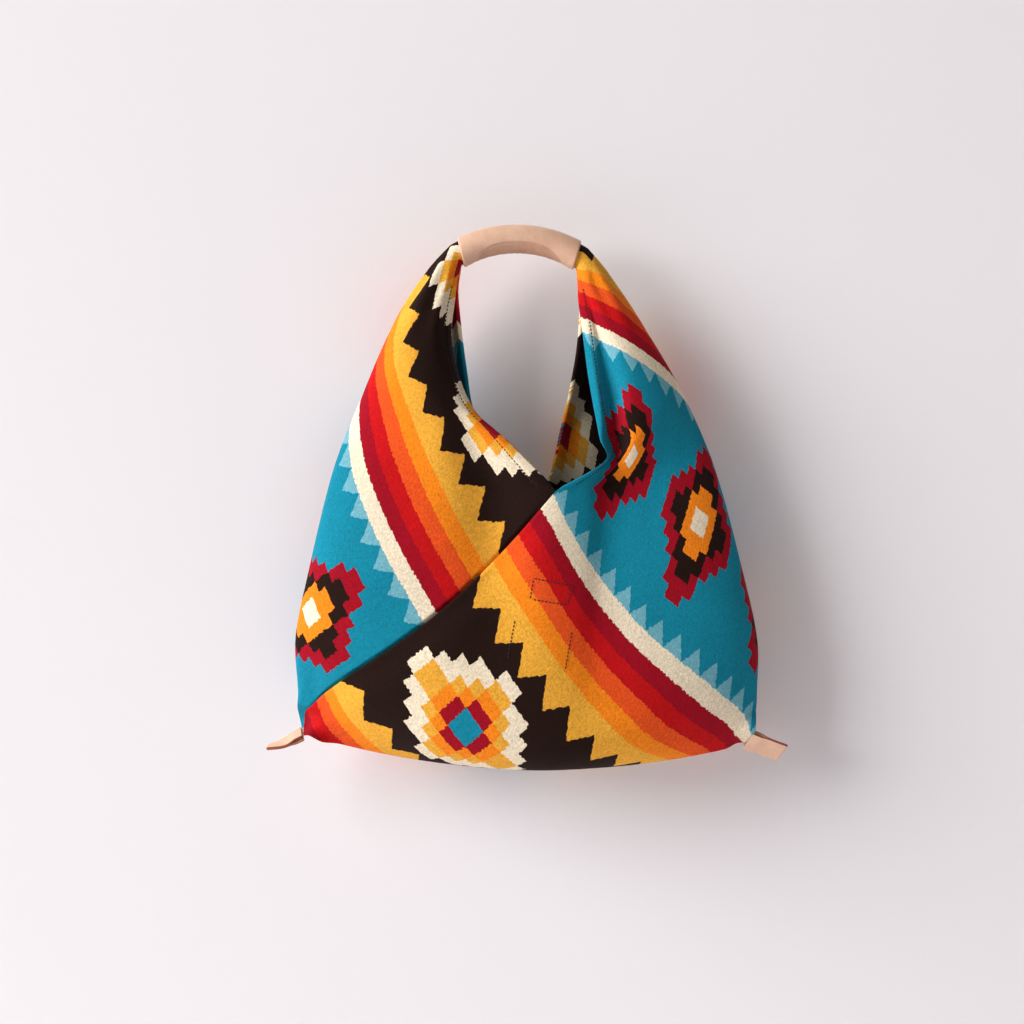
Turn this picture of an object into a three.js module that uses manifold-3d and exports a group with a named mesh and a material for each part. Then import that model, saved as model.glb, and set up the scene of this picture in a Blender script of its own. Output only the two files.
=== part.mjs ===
import * as THREE from "three";
import { ParametricGeometry } from "three/addons/geometries/ParametricGeometry.js";
import { mergeGeometries, mergeVertices } from "three/addons/utils/BufferGeometryUtils.js";
import Module from "manifold-3d";

// Azuma bag of one wool strip, hanging by its leather handle.
// Millimetres, Z up, X across the bag, Y from the front to the back.
// The origin is the hook seat: the middle of the underside of the handle.

// Sizes of the cloth bag
const HALF_WIDTH = 197;
const HALF_DEPTH = 53.5;
const HANG_DROP = 440;
const NOTCH_DROP = 203;
const FRONT_NOTCH_SHIFT = 27;
const BACK_NOTCH_SHIFT = 16;
const CLOTH = 3;
const STRIP_WIDTH = 300;
const LAP_STEP = 2.2;
const LAP_FADE = 45;
const CORNER_SOLID = 24;
const HANG_TILT = 2.2;

// Sizes of the handle
const HANDLE_DIAMETER = 25.2;
const HANDLE_LENGTH = 104;
const HANDLE_ARC_RADIUS = 103;
const HANDLE_LEATHER = 2.2;
const HANDLE_END_SLANT = 2.8;
const CREASE_DEPTH = 1.3;
const HANDLE_LEAN = 2.5;
const LEAN_FROM = 75;
const LEAN_TO = 190;
const ROLL_WALL = 6.4;
const ROLL_LEAD = 1.8;
const FIT_GAP = 0.3;

// Sizes of the corner tabs
const TAB_LENGTH = 32.5;
const TAB_WIDTH = 21;
const TAB_LEATHER = 1.4;
const TAB_SLOT_DEPTH = 14;
const TAB_OVERLAP = 5.6;
const TONGUE_WIDTH = 13;
const TONGUE_THICKNESS = 2.2;
const TONGUE_REACH = 7;
const TONGUE_ROOT = 13;
const TONGUE_ROUND = 0.8;
const CORNER_TWIST_FROM = 12.5;
const CORNER_TWIST_TO = 27;
const CORNER_SHIFT_TO = 36;
const CORNER_PINCH = 0.3;

// How each tab lies, in degrees: dip below level, yaw to the back, twist on its own length, further
// twist up to its far end, and upward bend. Sway and sag shift its corner to the right and down, in
// millimetres
const LEFT_TAB = { side: -1, dip: 25, yaw: 0, twist: 74, wring: 13, bend: 20, sway: -3.4, sag: 3 };
const RIGHT_TAB = { side: 1, dip: 24, yaw: 8, twist: 45, wring: 0, bend: 6, sway: -1.4, sag: 0 };

// Colours of the materials
const WOOL = { color: 0x8a1f22, roughness: 0.95, metalness: 0 };
const LEATHER = { color: 0xe0b898, roughness: 0.6, metalness: 0 };

// Mesh fineness
const BODY_ROWS = 16;
const EAR_ROWS = 24;
const OUTER_COLUMNS = 14;
const INNER_COLUMNS = 9;
const HANDLE_COLUMNS = 36;
const HANDLE_CREASE_COLUMN = 12;
const HANDLE_ROWS = 20;
const TAB_STEPS = 14;
const TAB_END_STEPS = 6;
const TONGUE_ROUND_STEPS = 4;
// The rows of the body lie closer together near the bottom corners
const ROW_CROWD = 1.48;
// Near this share of the columns one column runs along the right hanging fold. Between the first two
// of these heights it turns in to the fold, and between the last two it leaves it
const FOLD_COLUMN = 0.78;
const FOLD_COLUMN_UP = [0.75, 1];
const FOLD_COLUMN_DOWN = [1.5, 1.7];
// Points nearer than this are one point
const WELD = 2e-3;

// Values that follow from the sizes
const HANDLE_RADIUS = HANDLE_DIAMETER / 2;
const ROLL_RADIUS = HANDLE_RADIUS - HANDLE_LEATHER - FIT_GAP;
const HANDLE_HALF_ANGLE = HANDLE_LENGTH / 2 / HANDLE_ARC_RADIUS;
const ARC_CENTRE_Z = HANDLE_RADIUS - HANDLE_ARC_RADIUS;
const ROLL_ANGLE = HANDLE_HALF_ANGLE + (HANDLE_END_SLANT + ROLL_LEAD) / HANDLE_ARC_RADIUS;

// Shares of the cloth's own shape: quarter turns and start of the roll in the handle, and how softly
// the outer fold is rounded
const ROLL_TURN = 1.8;
const ROLL_START = 1.75;
const FOLD_ROUND = 0.12;

// The sheet is read in two shares. Height goes from 0 at the bottom line over 1 at the foot of the
// V opening to 2 at the middle of the handle. Reach goes from 0 at the outer fold to 1 at the front
// middle line or, above the foot of the V, at the open edge.

// The outer fold, as height, share of the half width and share of the hang drop
const OUTER_FOLD = [
  [0, 0.985, 0.9375],
  [0.15, 0.994, 0.845],
  [0.32, 1, 0.748],
  [0.52, 0.949, 0.632],
  [0.9, 0.827, 0.418],
  [1.14, 0.706, 0.284],
  [1.43, 0.538, 0.136],
  [1.66, 0.352, 0.014],
];
// The open edges above the foot of the V. Each face has a left and a right one, as that face is looked
// at: height, share of the half width out to that side, and share of the notch drop
const FRONT_LEFT_EDGE = [
  [1.21, 0.084, 0.768],
  [1.33, 0.203, 0.645],
  [1.52, 0.289, 0.384],
  [1.66, 0.272, 0.163],
];
const FRONT_RIGHT_EDGE = [
  [1.17, 0.355, 0.872],
  [1.24, 0.335, 0.783],
  [1.4, 0.306, 0.53],
  [1.54, 0.288, 0.32],
  [1.66, 0.261, 0.153],
];
const BACK_LEFT_EDGE = [
  [1.12, 0.124, 0.926],
  [1.26, 0.175, 0.74],
  [1.4, 0.23, 0.56],
  [1.52, 0.268, 0.384],
  [1.66, 0.272, 0.163],
];
const BACK_RIGHT_EDGE = [
  [1.17, 0.06, 0.88],
  [1.27, 0.15, 0.74],
  [1.36, 0.203, 0.645],
  [1.46, 0.222, 0.5],
  [1.56, 0.245, 0.34],
  [1.66, 0.261, 0.18],
];
// The middle line of the front: height and drop, from 0 at the foot of the V to 1 at the bottom
const MIDDLE_LINE = [
  [-0.1, 0.979],
  [0, 1],
  [0.1, 0.979],
  [0.2, 0.911],
  [0.3, 0.802],
  [0.45, 0.633],
  [0.6, 0.464],
  [0.8, 0.232],
  [1, 0],
];
// The depth of each level, as height and share of the half depth
const LEVEL_DEPTH = [
  [-0.1, -0.486],
  [0, 0],
  [0.1, 0.486],
  [0.2, 0.822],
  [0.3, 0.953],
  [0.45, 1],
  [0.6, 0.972],
  [0.8, 0.86],
  [1, 0.71],
  [1.25, 0.673],
  [1.5, 0.449],
  [1.66, 0.265],
];
// How far each ear curls round, as height and quarter turns
const LEFT_CURL = [
  [1, 1],
  [1.1, 1.12],
  [1.21, 1.3],
  [1.33, 1.55],
  [1.52, 1.78],
  [ROLL_START, ROLL_TURN],
];
const RIGHT_CURL = [
  [1, 1],
  [1.17, 1.2],
  [1.4, 1.5],
  [1.54, 1.62],
  [ROLL_START, ROLL_TURN],
];
// The two hanging folds of a face, as height, reach off the middle line and share of the half depth
const RIGHT_VALLEY = [
  [0.2, 0.21, 0],
  [0.45, 0.235, 0.11],
  [0.7, 0.262, 0.2],
  [0.9, 0.285, 0.27],
  [1, 0.28, 0.31],
  [1.08, 0.17, 0.34],
  [1.17, 0.07, 0.36],
  [1.3, 0.168, 0.28],
  [1.5, 0.236, 0.13],
  [1.66, 0.277, 0],
];
const LEFT_VALLEY = [
  [0.4, -0.14, 0],
  [0.7, -0.195, 0.11],
  [1, -0.277, 0.17],
  [1.15, -0.25, 0.13],
  [1.4, -0.209, 0],
];
// How far each hanging fold reaches to its left and to its right
const RIGHT_VALLEY_REACH = [0.06, 0.15];
const LEFT_VALLEY_REACH = [0.12, 0.12];
// The middle line swings out to the foot of the V, faster towards the top
const MIDDLE_SWING = 1.5;
// The lap seam dies out towards its two ends and towards the bottom line
const LAP_END = 0.14;
const LAP_FOOT = 0.12;
// Small gathers near the handle: how high they stand, how many there are, and between which heights
// they come up and go down again
const GATHER_RISE = 1.3;
const GATHERS = 3;
const GATHER_UP = [1.36, 1.56];
const GATHER_DOWN = [1.62, 1.7];
// The wall grows thicker from this height to the roll
const WALL_FROM = 1.5;
// Up to this height the bottom is rounded under, and the lining stays clear of the corners
const BOTTOM_ROUND = 0.3;
const CORNER_HEIGHT = 0.25;
const CORNER_EASE = 1.5;
// Between these heights the slack of the levels goes over into the taut ears
const SLACK_ENDS = [1, 1.3];
// Between these heights a hanging fold of the other side dies out
const FOLD_ENDS = [1, 1.15];
// From this height to the roll the even steps of cloth go over into even angles
const ROUND_FROM = 1.1;
// The crease low on each side of the handle: where its ends and its middle lie, in radians off the
// underside, and the share of the handle's length that it spans
const CREASE_END = 0.16;
const CREASE_MIDDLE = 1.23;
const CREASE_SPAN = 0.84;
const CREASE_EASE = 4;

const clamp = THREE.MathUtils.clamp;
const smoothstep = THREE.MathUtils.smoothstep;
const degrees = THREE.MathUtils.degToRad;

// One smooth column of a list, read at a height
function along(list, column, at) {
  let n = 0;
  while (n < list.length - 2 && at > list[n + 1][0]) {
    n += 1;
  }
  const slope = (k) => {
    const low = list[Math.max(k - 1, 0)];
    const high = list[Math.min(k + 1, list.length - 1)];
    return (high[column] - low[column]) / (high[0] - low[0]);
  };
  const span = list[n + 1][0] - list[n][0];
  const t = clamp((at - list[n][0]) / span, 0, 1);
  const rise = list[n + 1][column] - list[n][column];
  const bend = t * (1 - t);
  const start = slope(n) * span;
  const end = slope(n + 1) * span;
  return list[n][column] + rise * t * t * (3 - 2 * t) + bend * (start * (1 - t) - end * t);
}

// The handle's middle line at an angle from the top of its arc
function handlePoint(angle) {
  const out = new THREE.Vector3(Math.sin(angle), 0, Math.cos(angle));
  const at = out.clone().multiplyScalar(HANDLE_ARC_RADIUS);
  at.z += ARC_CENTRE_Z;
  return { at, out };
}

// The rolled ring of cloth in the handle, for one side of the bag
function rollAt(side, height) {
  const share = clamp((height - ROLL_START) / (2 - ROLL_START), 0, 1);
  const ring = handlePoint(side * ROLL_ANGLE * (1 - share));
  const turned = Math.cos((ROLL_TURN * Math.PI) / 2);
  return {
    fold: ring.at.clone().addScaledVector(ring.out, ROLL_RADIUS),
    edge: ring.at.clone().addScaledVector(ring.out, ROLL_RADIUS * turned),
  };
}

// The lists end in the roll, so that the ears run into the handle
const ROLL_RING = rollAt(1, ROLL_START);
function intoRoll(list, point, drop) {
  return [...list, [ROLL_START, point.x / HALF_WIDTH, -point.z / drop]];
}
const FOLD_LINE = intoRoll(OUTER_FOLD, ROLL_RING.fold, HANG_DROP);
const DEPTH_LINE = [...LEVEL_DEPTH, [ROLL_START, ROLL_RADIUS / HALF_DEPTH]];

// One face of the bag: how far the foot of its V lies to the right, and its two open edges
function makeFace(shift, leftEdge, rightEdge) {
  const foot = (side) => [1, (side * shift) / HALF_WIDTH, 1];
  const edges = new Map([
    [-1, intoRoll([foot(-1), ...leftEdge], ROLL_RING.edge, NOTCH_DROP)],
    [1, intoRoll([foot(1), ...rightEdge], ROLL_RING.edge, NOTCH_DROP)],
  ]);
  return { shift, edges };
}
const FRONT = makeFace(FRONT_NOTCH_SHIFT, FRONT_LEFT_EDGE, FRONT_RIGHT_EDGE);
const BACK = makeFace(-BACK_NOTCH_SHIFT, BACK_LEFT_EDGE, BACK_RIGHT_EDGE);

function foldAt(side, height) {
  const x = side * HALF_WIDTH * along(FOLD_LINE, 1, height);
  return new THREE.Vector3(x, 0, -HANG_DROP * along(FOLD_LINE, 2, height));
}

// The way from the outer fold into the bag, square to the fold
function inwardAt(side, height) {
  const step = 0.02;
  const above = foldAt(side, Math.min(height + step, ROLL_START));
  const climb = above.sub(foldAt(side, Math.max(height - step, 0)));
  return new THREE.Vector3(-side * climb.z, 0, side * climb.x).normalize();
}

// One level of the sheet on one side: its outer fold, its inner end, its depth, curl and wall
function levelAt(face, side, height) {
  if (height >= ROLL_START) {
    const ring = rollAt(side, height);
    const inward = ring.edge.clone().sub(ring.fold).normalize();
    return { ...ring, inward, depth: ROLL_RADIUS, curl: ROLL_TURN, wall: ROLL_WALL };
  }
  const edge = new THREE.Vector3();
  if (height <= 1) {
    edge.x = face.shift * height ** MIDDLE_SWING;
    edge.z = -NOTCH_DROP - (HANG_DROP - NOTCH_DROP) * along(MIDDLE_LINE, 1, height);
  } else {
    edge.x = side * HALF_WIDTH * along(face.edges.get(side), 1, height);
    edge.z = -NOTCH_DROP * along(face.edges.get(side), 2, height);
  }
  const curls = side < 0 ? LEFT_CURL : RIGHT_CURL;
  return {
    fold: foldAt(side, height),
    edge,
    inward: inwardAt(side, height),
    depth: HALF_DEPTH * along(DEPTH_LINE, 1, height),
    curl: height <= 1 ? 1 : along(curls, 1, height),
    wall: CLOTH + (ROLL_WALL - CLOTH) * smoothstep(height, WALL_FROM, ROLL_START),
  };
}

// How far round its level a point lies, in radians: even steps of cloth on the flat body, and even
// angles on the round roll
function turnAt(curl, reach, height) {
  const full = (curl * Math.PI) / 2;
  const flat = (Math.hypot(reach, FOLD_ROUND) - FOLD_ROUND) / (Math.hypot(1, FOLD_ROUND) - FOLD_ROUND);
  const even = Math.acos(clamp(1 - flat * (1 - Math.cos(full)), -1, 1));
  return THREE.MathUtils.lerp(even, full * reach, smoothstep(height, ROUND_FROM, ROLL_START));
}

// The hanging folds: how far a face is pushed in at a reach off the middle line
function valleyAt(side, off, height) {
  let push = 0;
  for (const [list, home, width] of [
    [RIGHT_VALLEY, 1, RIGHT_VALLEY_REACH],
    [LEFT_VALLEY, -1, LEFT_VALLEY_REACH],
  ]) {
    if (height <= list[0][0] || height >= list[list.length - 1][0]) {
      continue;
    }
    const across = home === side ? 1 : 1 - smoothstep(height, ...FOLD_ENDS);
    const away = off - along(list, 1, height);
    const place = away / (away < 0 ? width[0] : width[1]);
    push += across * HALF_DEPTH * along(list, 2, height) * Math.exp(-place * place);
  }
  return push;
}

// The outer panel lies on the inner one along the lap seam
function lapAt(off, height) {
  const away = ((1 + off - height) * STRIP_WIDTH) / 2;
  const run = (1 + off + height) / 2;
  const ends = smoothstep(run, 0, LAP_END) * (1 - smoothstep(run, 1 - LAP_END, 1));
  const low = smoothstep(height, 0, LAP_FOOT);
  return away < -0.01 ? 0 : LAP_STEP * ends * low * (1 - smoothstep(away, 0, LAP_FADE));
}

// Small gathers where the ears are drawn into the handle
function gatherAt(reach, height) {
  const near = smoothstep(height, ...GATHER_UP) * (1 - smoothstep(height, ...GATHER_DOWN));
  return GATHER_RISE * near * Math.cos(2 * Math.PI * GATHERS * reach);
}

// A point of the sheet: face, side, reach, height, and how far it lies outside the plain outer face
function sheetPoint(face, side, reach, height, lift, target) {
  const level = levelAt(face, side, height);
  const turn = turnAt(level.curl, reach, height);
  const way = level.edge.clone().sub(level.fold);
  const share = (1 - Math.cos(turn)) / (1 - Math.cos((level.curl * Math.PI) / 2));
  const sag = 1 - smoothstep(height, ...SLACK_ENDS);
  const off = side * (1 - reach);
  target.copy(level.fold).addScaledVector(way, share);
  target.z += way.z * sag * share * (1 - share);
  target.y = (valleyAt(side, off, height) - level.depth) * Math.sin(turn);
  const flank = height < 1 ? clamp(level.depth / HALF_DEPTH, 0, 1) : 1;
  const inwards = turn < Math.PI / 2 ? level.inward : way.normalize();
  target.addScaledVector(inwards, -lift * Math.cos(turn));
  target.y -= lift * Math.sin(turn) * flank;
  target.z -= lift * (1 - smoothstep(height, 0, BOTTOM_ROUND)) * Math.sin(turn);
  return target;
}

// The lining face lies one wall inside, and stays well clear of the pinched corners
function liningPoint(face, side, reach, height, target) {
  const wall = levelAt(face, side, height).wall;
  sheetPoint(face, side, reach, height, -wall, target);
  const inset = CORNER_SOLID * Math.max(0, 1 - height / CORNER_HEIGHT) ** CORNER_EASE;
  target.x -= side * inset * Math.cos((reach * Math.PI) / 2);
  return target;
}

function outerLift(side, reach, height) {
  return lapAt(side * (1 - reach), height) + gatherAt(reach, height);
}

// One patch of the sheet, turned to face the right way
function patch(shape, columns, rows, turned) {
  const made = new ParametricGeometry(shape, columns, rows);
  made.deleteAttribute("normal");
  made.deleteAttribute("uv");
  if (turned) {
    const corner = made.index.array;
    for (let n = 0; n < corner.length; n += 3) {
      const kept = corner[n + 1];
      corner[n + 1] = corner[n + 2];
      corner[n + 2] = kept;
    }
  }
  return made;
}

// Joined patches without the faces that have shrunk to a line
function joined(patches) {
  const whole = mergeVertices(mergeGeometries(patches), WELD);
  const corner = whole.index.array;
  const kept = [];
  for (let n = 0; n < corner.length; n += 3) {
    const [a, b, c] = [corner[n], corner[n + 1], corner[n + 2]];
    if (a !== b && b !== c && c !== a) {
      kept.push(a, b, c);
    }
  }
  whole.setIndex(kept);
  return whole;
}

// The height of a share of the body's rows
function bodyHeight(share) {
  return share ** ROW_CROWD;
}

// The whole rows of the upper part: the body up to the foot of the V, then the ear
function rowHeight(row) {
  const at = row * (BODY_ROWS + EAR_ROWS);
  return at <= BODY_ROWS ? bodyHeight(at / BODY_ROWS) : 1 + (at - BODY_ROWS) / EAR_ROWS;
}

// Where a column lies on its row. On the right they close up on the hanging fold, so that no row
// steps over it
function columnReach(side, column, columns, height) {
  const row = Math.min(height, 1);
  if (side < 0) {
    return row * column;
  }
  const line = Math.round(FOLD_COLUMN * columns) / columns;
  const valley = Math.min((1 - along(RIGHT_VALLEY, 1, height)) / row, 1);
  const near = smoothstep(height, ...FOLD_COLUMN_UP) * (1 - smoothstep(height, ...FOLD_COLUMN_DOWN));
  const fold = THREE.MathUtils.lerp(line, valley, near);
  const share = column < line ? (column / line) * fold : 1 - ((1 - column) / (1 - line)) * (1 - fold);
  return row * share;
}

function facePatches(face) {
  const made = [];
  for (const side of [-1, 1]) {
    const turned = side > 0;
    const rows = BODY_ROWS + EAR_ROWS;
    const upperLift = (reach, height) => {
      return side < 0 ? gatherAt(reach, height) : outerLift(side, reach, height);
    };
    // the panel above the seam line, with the ear
    const upper = (u, v, target) => {
      const height = rowHeight(v);
      const reach = columnReach(side, u, OUTER_COLUMNS, height);
      return sheetPoint(face, side, reach, height, upperLift(reach, height), target);
    };
    // the panel below the seam line
    const lower = (u, v, target) => {
      const reach = bodyHeight(u);
      return sheetPoint(face, side, reach, reach * v, outerLift(side, reach, reach * v), target);
    };
    const upperLining = (u, v, target) => {
      const height = rowHeight(v);
      return liningPoint(face, side, columnReach(side, u, INNER_COLUMNS, height), height, target);
    };
    const lowerLining = (u, v, target) => {
      const reach = bodyHeight(u);
      return liningPoint(face, side, reach, reach * v, target);
    };
    // the hemmed edge of the opening
    const rim = (u, v, target) => {
      const height = 1 + v;
      const inside = liningPoint(face, side, 1, height, new THREE.Vector3());
      return sheetPoint(face, side, 1, height, upperLift(1, height), target).lerp(inside, u);
    };
    made.push(patch(upper, OUTER_COLUMNS, rows, turned));
    made.push(patch(lower, BODY_ROWS, OUTER_COLUMNS, turned));
    made.push(patch(upperLining, INNER_COLUMNS, rows, !turned));
    made.push(patch(lowerLining, BODY_ROWS, INNER_COLUMNS, !turned));
    made.push(patch(rim, 1, EAR_ROWS, turned));
    if (side < 0) {
      // the edge of the outer panel, standing on the inner one
      const step = (u, v, target) => {
        const height = bodyHeight(v);
        return sheetPoint(face, side, height, height, u * outerLift(side, height, height), target);
      };
      made.push(patch(step, 1, BODY_ROWS, false));
    }
  }
  return made;
}

// A tab's own axes: along its length, across its width, and out of its face
function tabAxes(tab) {
  const dip = degrees(tab.dip);
  const yaw = degrees(tab.yaw);
  const level = Math.cos(dip);
  const out = tab.side * level * Math.cos(yaw);
  const length = new THREE.Vector3(out, level * Math.sin(yaw), -Math.sin(dip));
  const down = new THREE.Vector3(0, 0, -1).addScaledVector(length, length.z).normalize();
  const cross = length.clone().cross(down);
  const twist = degrees(tab.twist);
  const width = down.multiplyScalar(Math.cos(twist)).addScaledVector(cross, Math.sin(twist));
  const face = width.clone().cross(length).normalize();
  return { length, width, face };
}

// The bottom hangs a little lower on the right, not at all at the foot of the V and fully at the corners
function tiltBottom(point) {
  const share = smoothstep(-point.z, NOTCH_DROP, HANG_DROP * OUTER_FOLD[0][2]);
  point.z -= Math.tan(degrees(HANG_TILT)) * point.x * share;
  return point;
}

// The tip of the bag's bottom corner on a tab's side, and how far that corner is shifted
function cornerTip(tab) {
  return { tip: tiltBottom(foldAt(tab.side, 0)), shift: new THREE.Vector3(tab.sway, 0, -tab.sag) };
}

// Where a tab starts: on the cloth, a little inside the tip of the corner
function tabFrame(tab) {
  const axes = tabAxes(tab);
  const { tip, shift } = cornerTip(tab);
  const frame = new THREE.Matrix4().makeBasis(axes.length, axes.face, axes.width);
  return frame.setPosition(tip.add(shift).addScaledVector(axes.length, -TAB_OVERLAP));
}

// The cloth near a corner is pinched flat, turns with its tab and is shifted, fully at the tip and not
// at all further away
function twistCorner(tab, point) {
  const basis = (axes) => new THREE.Matrix4().makeBasis(axes.length, axes.face, axes.width);
  const straight = basis(tabAxes({ ...tab, yaw: 0, twist: 0 })).invert();
  const whole = new THREE.Quaternion().setFromRotationMatrix(basis(tabAxes(tab)).multiply(straight));
  const { tip, shift } = cornerTip(tab);
  const away = point.distanceTo(tip);
  const share = 1 - smoothstep(away, CORNER_TWIST_FROM, CORNER_TWIST_TO);
  point.y *= THREE.MathUtils.lerp(1, CORNER_PINCH, share);
  point.sub(tip).applyQuaternion(new THREE.Quaternion().slerp(whole, share)).add(tip);
  point.addScaledVector(shift, 1 - smoothstep(away, CORNER_TWIST_FROM, CORNER_SHIFT_TO));
}

// The top of the bag leans on the hook: the whole handle, and less and less of the cloth below it
function leanTop(point) {
  const share = 1 - smoothstep(point.length(), LEAN_FROM, LEAN_TO);
  point.applyAxisAngle(new THREE.Vector3(0, 1, 0), degrees(HANDLE_LEAN) * share);
}

function movePoints(geometry, ...moves) {
  const places = geometry.getAttribute("position");
  const point = new THREE.Vector3();
  for (let n = 0; n < places.count; n += 1) {
    point.fromBufferAttribute(places, n);
    moves.forEach((move) => move(point));
    places.setXYZ(n, point.x, point.y, point.z);
  }
  return geometry;
}

// The leather strip, folded over at its far end, open round the cloth at its near end
function tabGeometry(tab) {
  const bend = degrees(tab.bend);
  const lift = tabAxes(tab).face.z < 0 ? -1 : 1;
  const slot = TONGUE_THICKNESS / 2 + FIT_GAP;
  const spine = (at) => {
    const radius = (TAB_LENGTH - TAB_SLOT_DEPTH) / bend;
    const angle = Math.max(0, at - TAB_SLOT_DEPTH) / radius;
    const rise = lift * radius * (1 - Math.cos(angle));
    const middle = new THREE.Vector2(Math.min(at, TAB_SLOT_DEPTH) + radius * Math.sin(angle), rise);
    const across = new THREE.Vector2(-lift * Math.sin(angle), Math.cos(angle));
    return { middle, across };
  };
  const open = (at) => slot * clamp((TAB_SLOT_DEPTH - at) / (TAB_SLOT_DEPTH - TONGUE_REACH), 0, 1);
  const outline = [];
  const point = (at, off) => {
    const s = spine(at);
    outline.push(s.middle.clone().addScaledVector(s.across, off));
  };
  const last = TAB_LENGTH - TAB_LEATHER;
  for (let n = 0; n <= TAB_STEPS; n += 1) {
    const at = (last * n) / TAB_STEPS;
    point(at, -TAB_LEATHER - open(at));
  }
  for (let n = 1; n < TAB_END_STEPS; n += 1) {
    const round = -Math.PI / 2 + (Math.PI * n) / TAB_END_STEPS;
    point(last + TAB_LEATHER * Math.cos(round), TAB_LEATHER * Math.sin(round));
  }
  for (let n = TAB_STEPS; n >= 0; n -= 1) {
    const at = (last * n) / TAB_STEPS;
    point(at, TAB_LEATHER + open(at));
  }
  point(0, open(0));
  point(TONGUE_REACH + FIT_GAP, open(TONGUE_REACH + FIT_GAP));
  point(TAB_SLOT_DEPTH, 0);
  point(TONGUE_REACH + FIT_GAP, -open(TONGUE_REACH + FIT_GAP));
  point(0, -open(0));
  const across = { depth: TAB_WIDTH, bevelEnabled: false };
  const made = new THREE.ExtrudeGeometry(new THREE.Shape(outline), across);
  made.translate(0, 0, -TAB_WIDTH / 2);
  const length = new THREE.Vector3(1, 0, 0);
  const wring = (spot) => {
    spot.applyAxisAngle(length, degrees(tab.wring) * smoothstep(spot.x, TAB_SLOT_DEPTH, TAB_LENGTH));
  };
  return movePoints(made, wring).applyMatrix4(tabFrame(tab));
}

// The pinched tip of the cloth corner that the tab is folded over
function tongueGeometry(tab) {
  const round = TONGUE_ROUND;
  const half = TONGUE_WIDTH / 2;
  const thick = TONGUE_THICKNESS / 2;
  const shape = new THREE.Shape();
  shape.moveTo(-half + round, -thick);
  shape.lineTo(half - round, -thick);
  shape.absarc(half - round, -thick + round, round, -Math.PI / 2, 0);
  shape.lineTo(half, thick - round);
  shape.absarc(half - round, thick - round, round, 0, Math.PI / 2);
  shape.lineTo(-half + round, thick);
  shape.absarc(-half + round, thick - round, round, Math.PI / 2, Math.PI);
  shape.lineTo(-half, -thick + round);
  shape.absarc(-half + round, -thick + round, round, Math.PI, Math.PI * 1.5);
  const depth = TONGUE_REACH + TONGUE_ROOT;
  const lengthwise = { depth, bevelEnabled: false, curveSegments: TONGUE_ROUND_STEPS };
  const made = new THREE.ExtrudeGeometry(shape, lengthwise);
  made.translate(0, 0, -TONGUE_ROOT);
  // the tongue's own Z becomes the tab's length
  made.applyMatrix4(
    new THREE.Matrix4().makeBasis(
      new THREE.Vector3(0, 0, -1),
      new THREE.Vector3(0, 1, 0),
      new THREE.Vector3(1, 0, 0),
    ),
  );
  return made.applyMatrix4(tabFrame(tab));
}

// The leather round the handle: one wrap, with a long crease low on each side
function handlePatches() {
  const wide = HANDLE_CREASE_COLUMN / HANDLE_COLUMNS;
  const creaseAt = (run) => {
    const low = Math.max(0, 1 - (run / CREASE_SPAN) ** CREASE_EASE);
    const off = CREASE_END + (CREASE_MIDDLE - CREASE_END) * low;
    return { from: Math.PI - off, depth: CREASE_DEPTH * Math.sqrt(low) };
  };
  const spotAt = (u, run) => {
    const from = creaseAt(run).from;
    if (u <= wide) {
      return (from * u) / wide;
    }
    if (u >= 1 - wide) {
      return 2 * Math.PI - (from * (1 - u)) / wide;
    }
    return from + ((u - wide) / (1 - 2 * wide)) * 2 * (Math.PI - from);
  };
  const place = (turn, run, radius, target) => {
    const slant = (HANDLE_END_SLANT / HANDLE_ARC_RADIUS) * Math.cos(turn);
    const spot = handlePoint(run * (HANDLE_HALF_ANGLE - slant));
    target.copy(spot.at).addScaledVector(spot.out, radius * Math.cos(turn));
    target.y = -radius * Math.sin(turn);
    return target;
  };
  const skin = (u, v, target) => {
    const run = 2 * v - 1;
    const creased = Math.min(Math.abs(u - wide), Math.abs(u - 1 + wide)) < 1e-6;
    const radius = HANDLE_RADIUS - (creased ? creaseAt(run).depth : 0);
    return place(spotAt(u, run), run, radius, target);
  };
  const bore = HANDLE_RADIUS - HANDLE_LEATHER;
  const inside = (u, v, target) => place(spotAt(u, 1), 2 * v - 1, bore, target);
  const end = (run) => (u, v, target) => place(spotAt(u, 1), run, bore + HANDLE_LEATHER * (1 - v), target);
  return [
    patch(skin, HANDLE_COLUMNS, HANDLE_ROWS, false),
    patch(inside, HANDLE_COLUMNS, HANDLE_ROWS, true),
    patch(end(-1), HANDLE_COLUMNS, 1, true),
    patch(end(1), HANDLE_COLUMNS, 1, false),
  ];
}

const solid = await Module();
solid.setup();

function toSolid(geometry) {
  const bare = new THREE.BufferGeometry();
  bare.setAttribute("position", geometry.getAttribute("position").clone());
  if (geometry.index) {
    bare.setIndex(geometry.index.clone());
  }
  const welded = mergeVertices(bare, WELD);
  return new solid.Manifold(
    new solid.Mesh({
      numProp: 3,
      vertProperties: new Float32Array(welded.attributes.position.array),
      triVerts: new Uint32Array(welded.index.array),
    }),
  );
}

function fromSolid(body) {
  const mesh = body.getMesh();
  const made = new THREE.BufferGeometry();
  made.setAttribute("position", new THREE.BufferAttribute(mesh.vertProperties, mesh.numProp));
  made.setIndex(new THREE.BufferAttribute(mesh.triVerts, 1));
  return made;
}

// The back is drawn as a front and turned half round the hanging line
const front = facePatches(FRONT);
const back = facePatches(BACK).map((piece) => piece.scale(-1, -1, 1));
const twists = [LEFT_TAB, RIGHT_TAB].map((tab) => (point) => twistCorner(tab, point));
const bag = toSolid(movePoints(joined([...front, ...back]), tiltBottom, ...twists, leanTop));
const tongues = [LEFT_TAB, RIGHT_TAB].map((tab) => toSolid(tongueGeometry(tab)));
const cloth = solid.Manifold.union([bag, ...tongues]);

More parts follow.
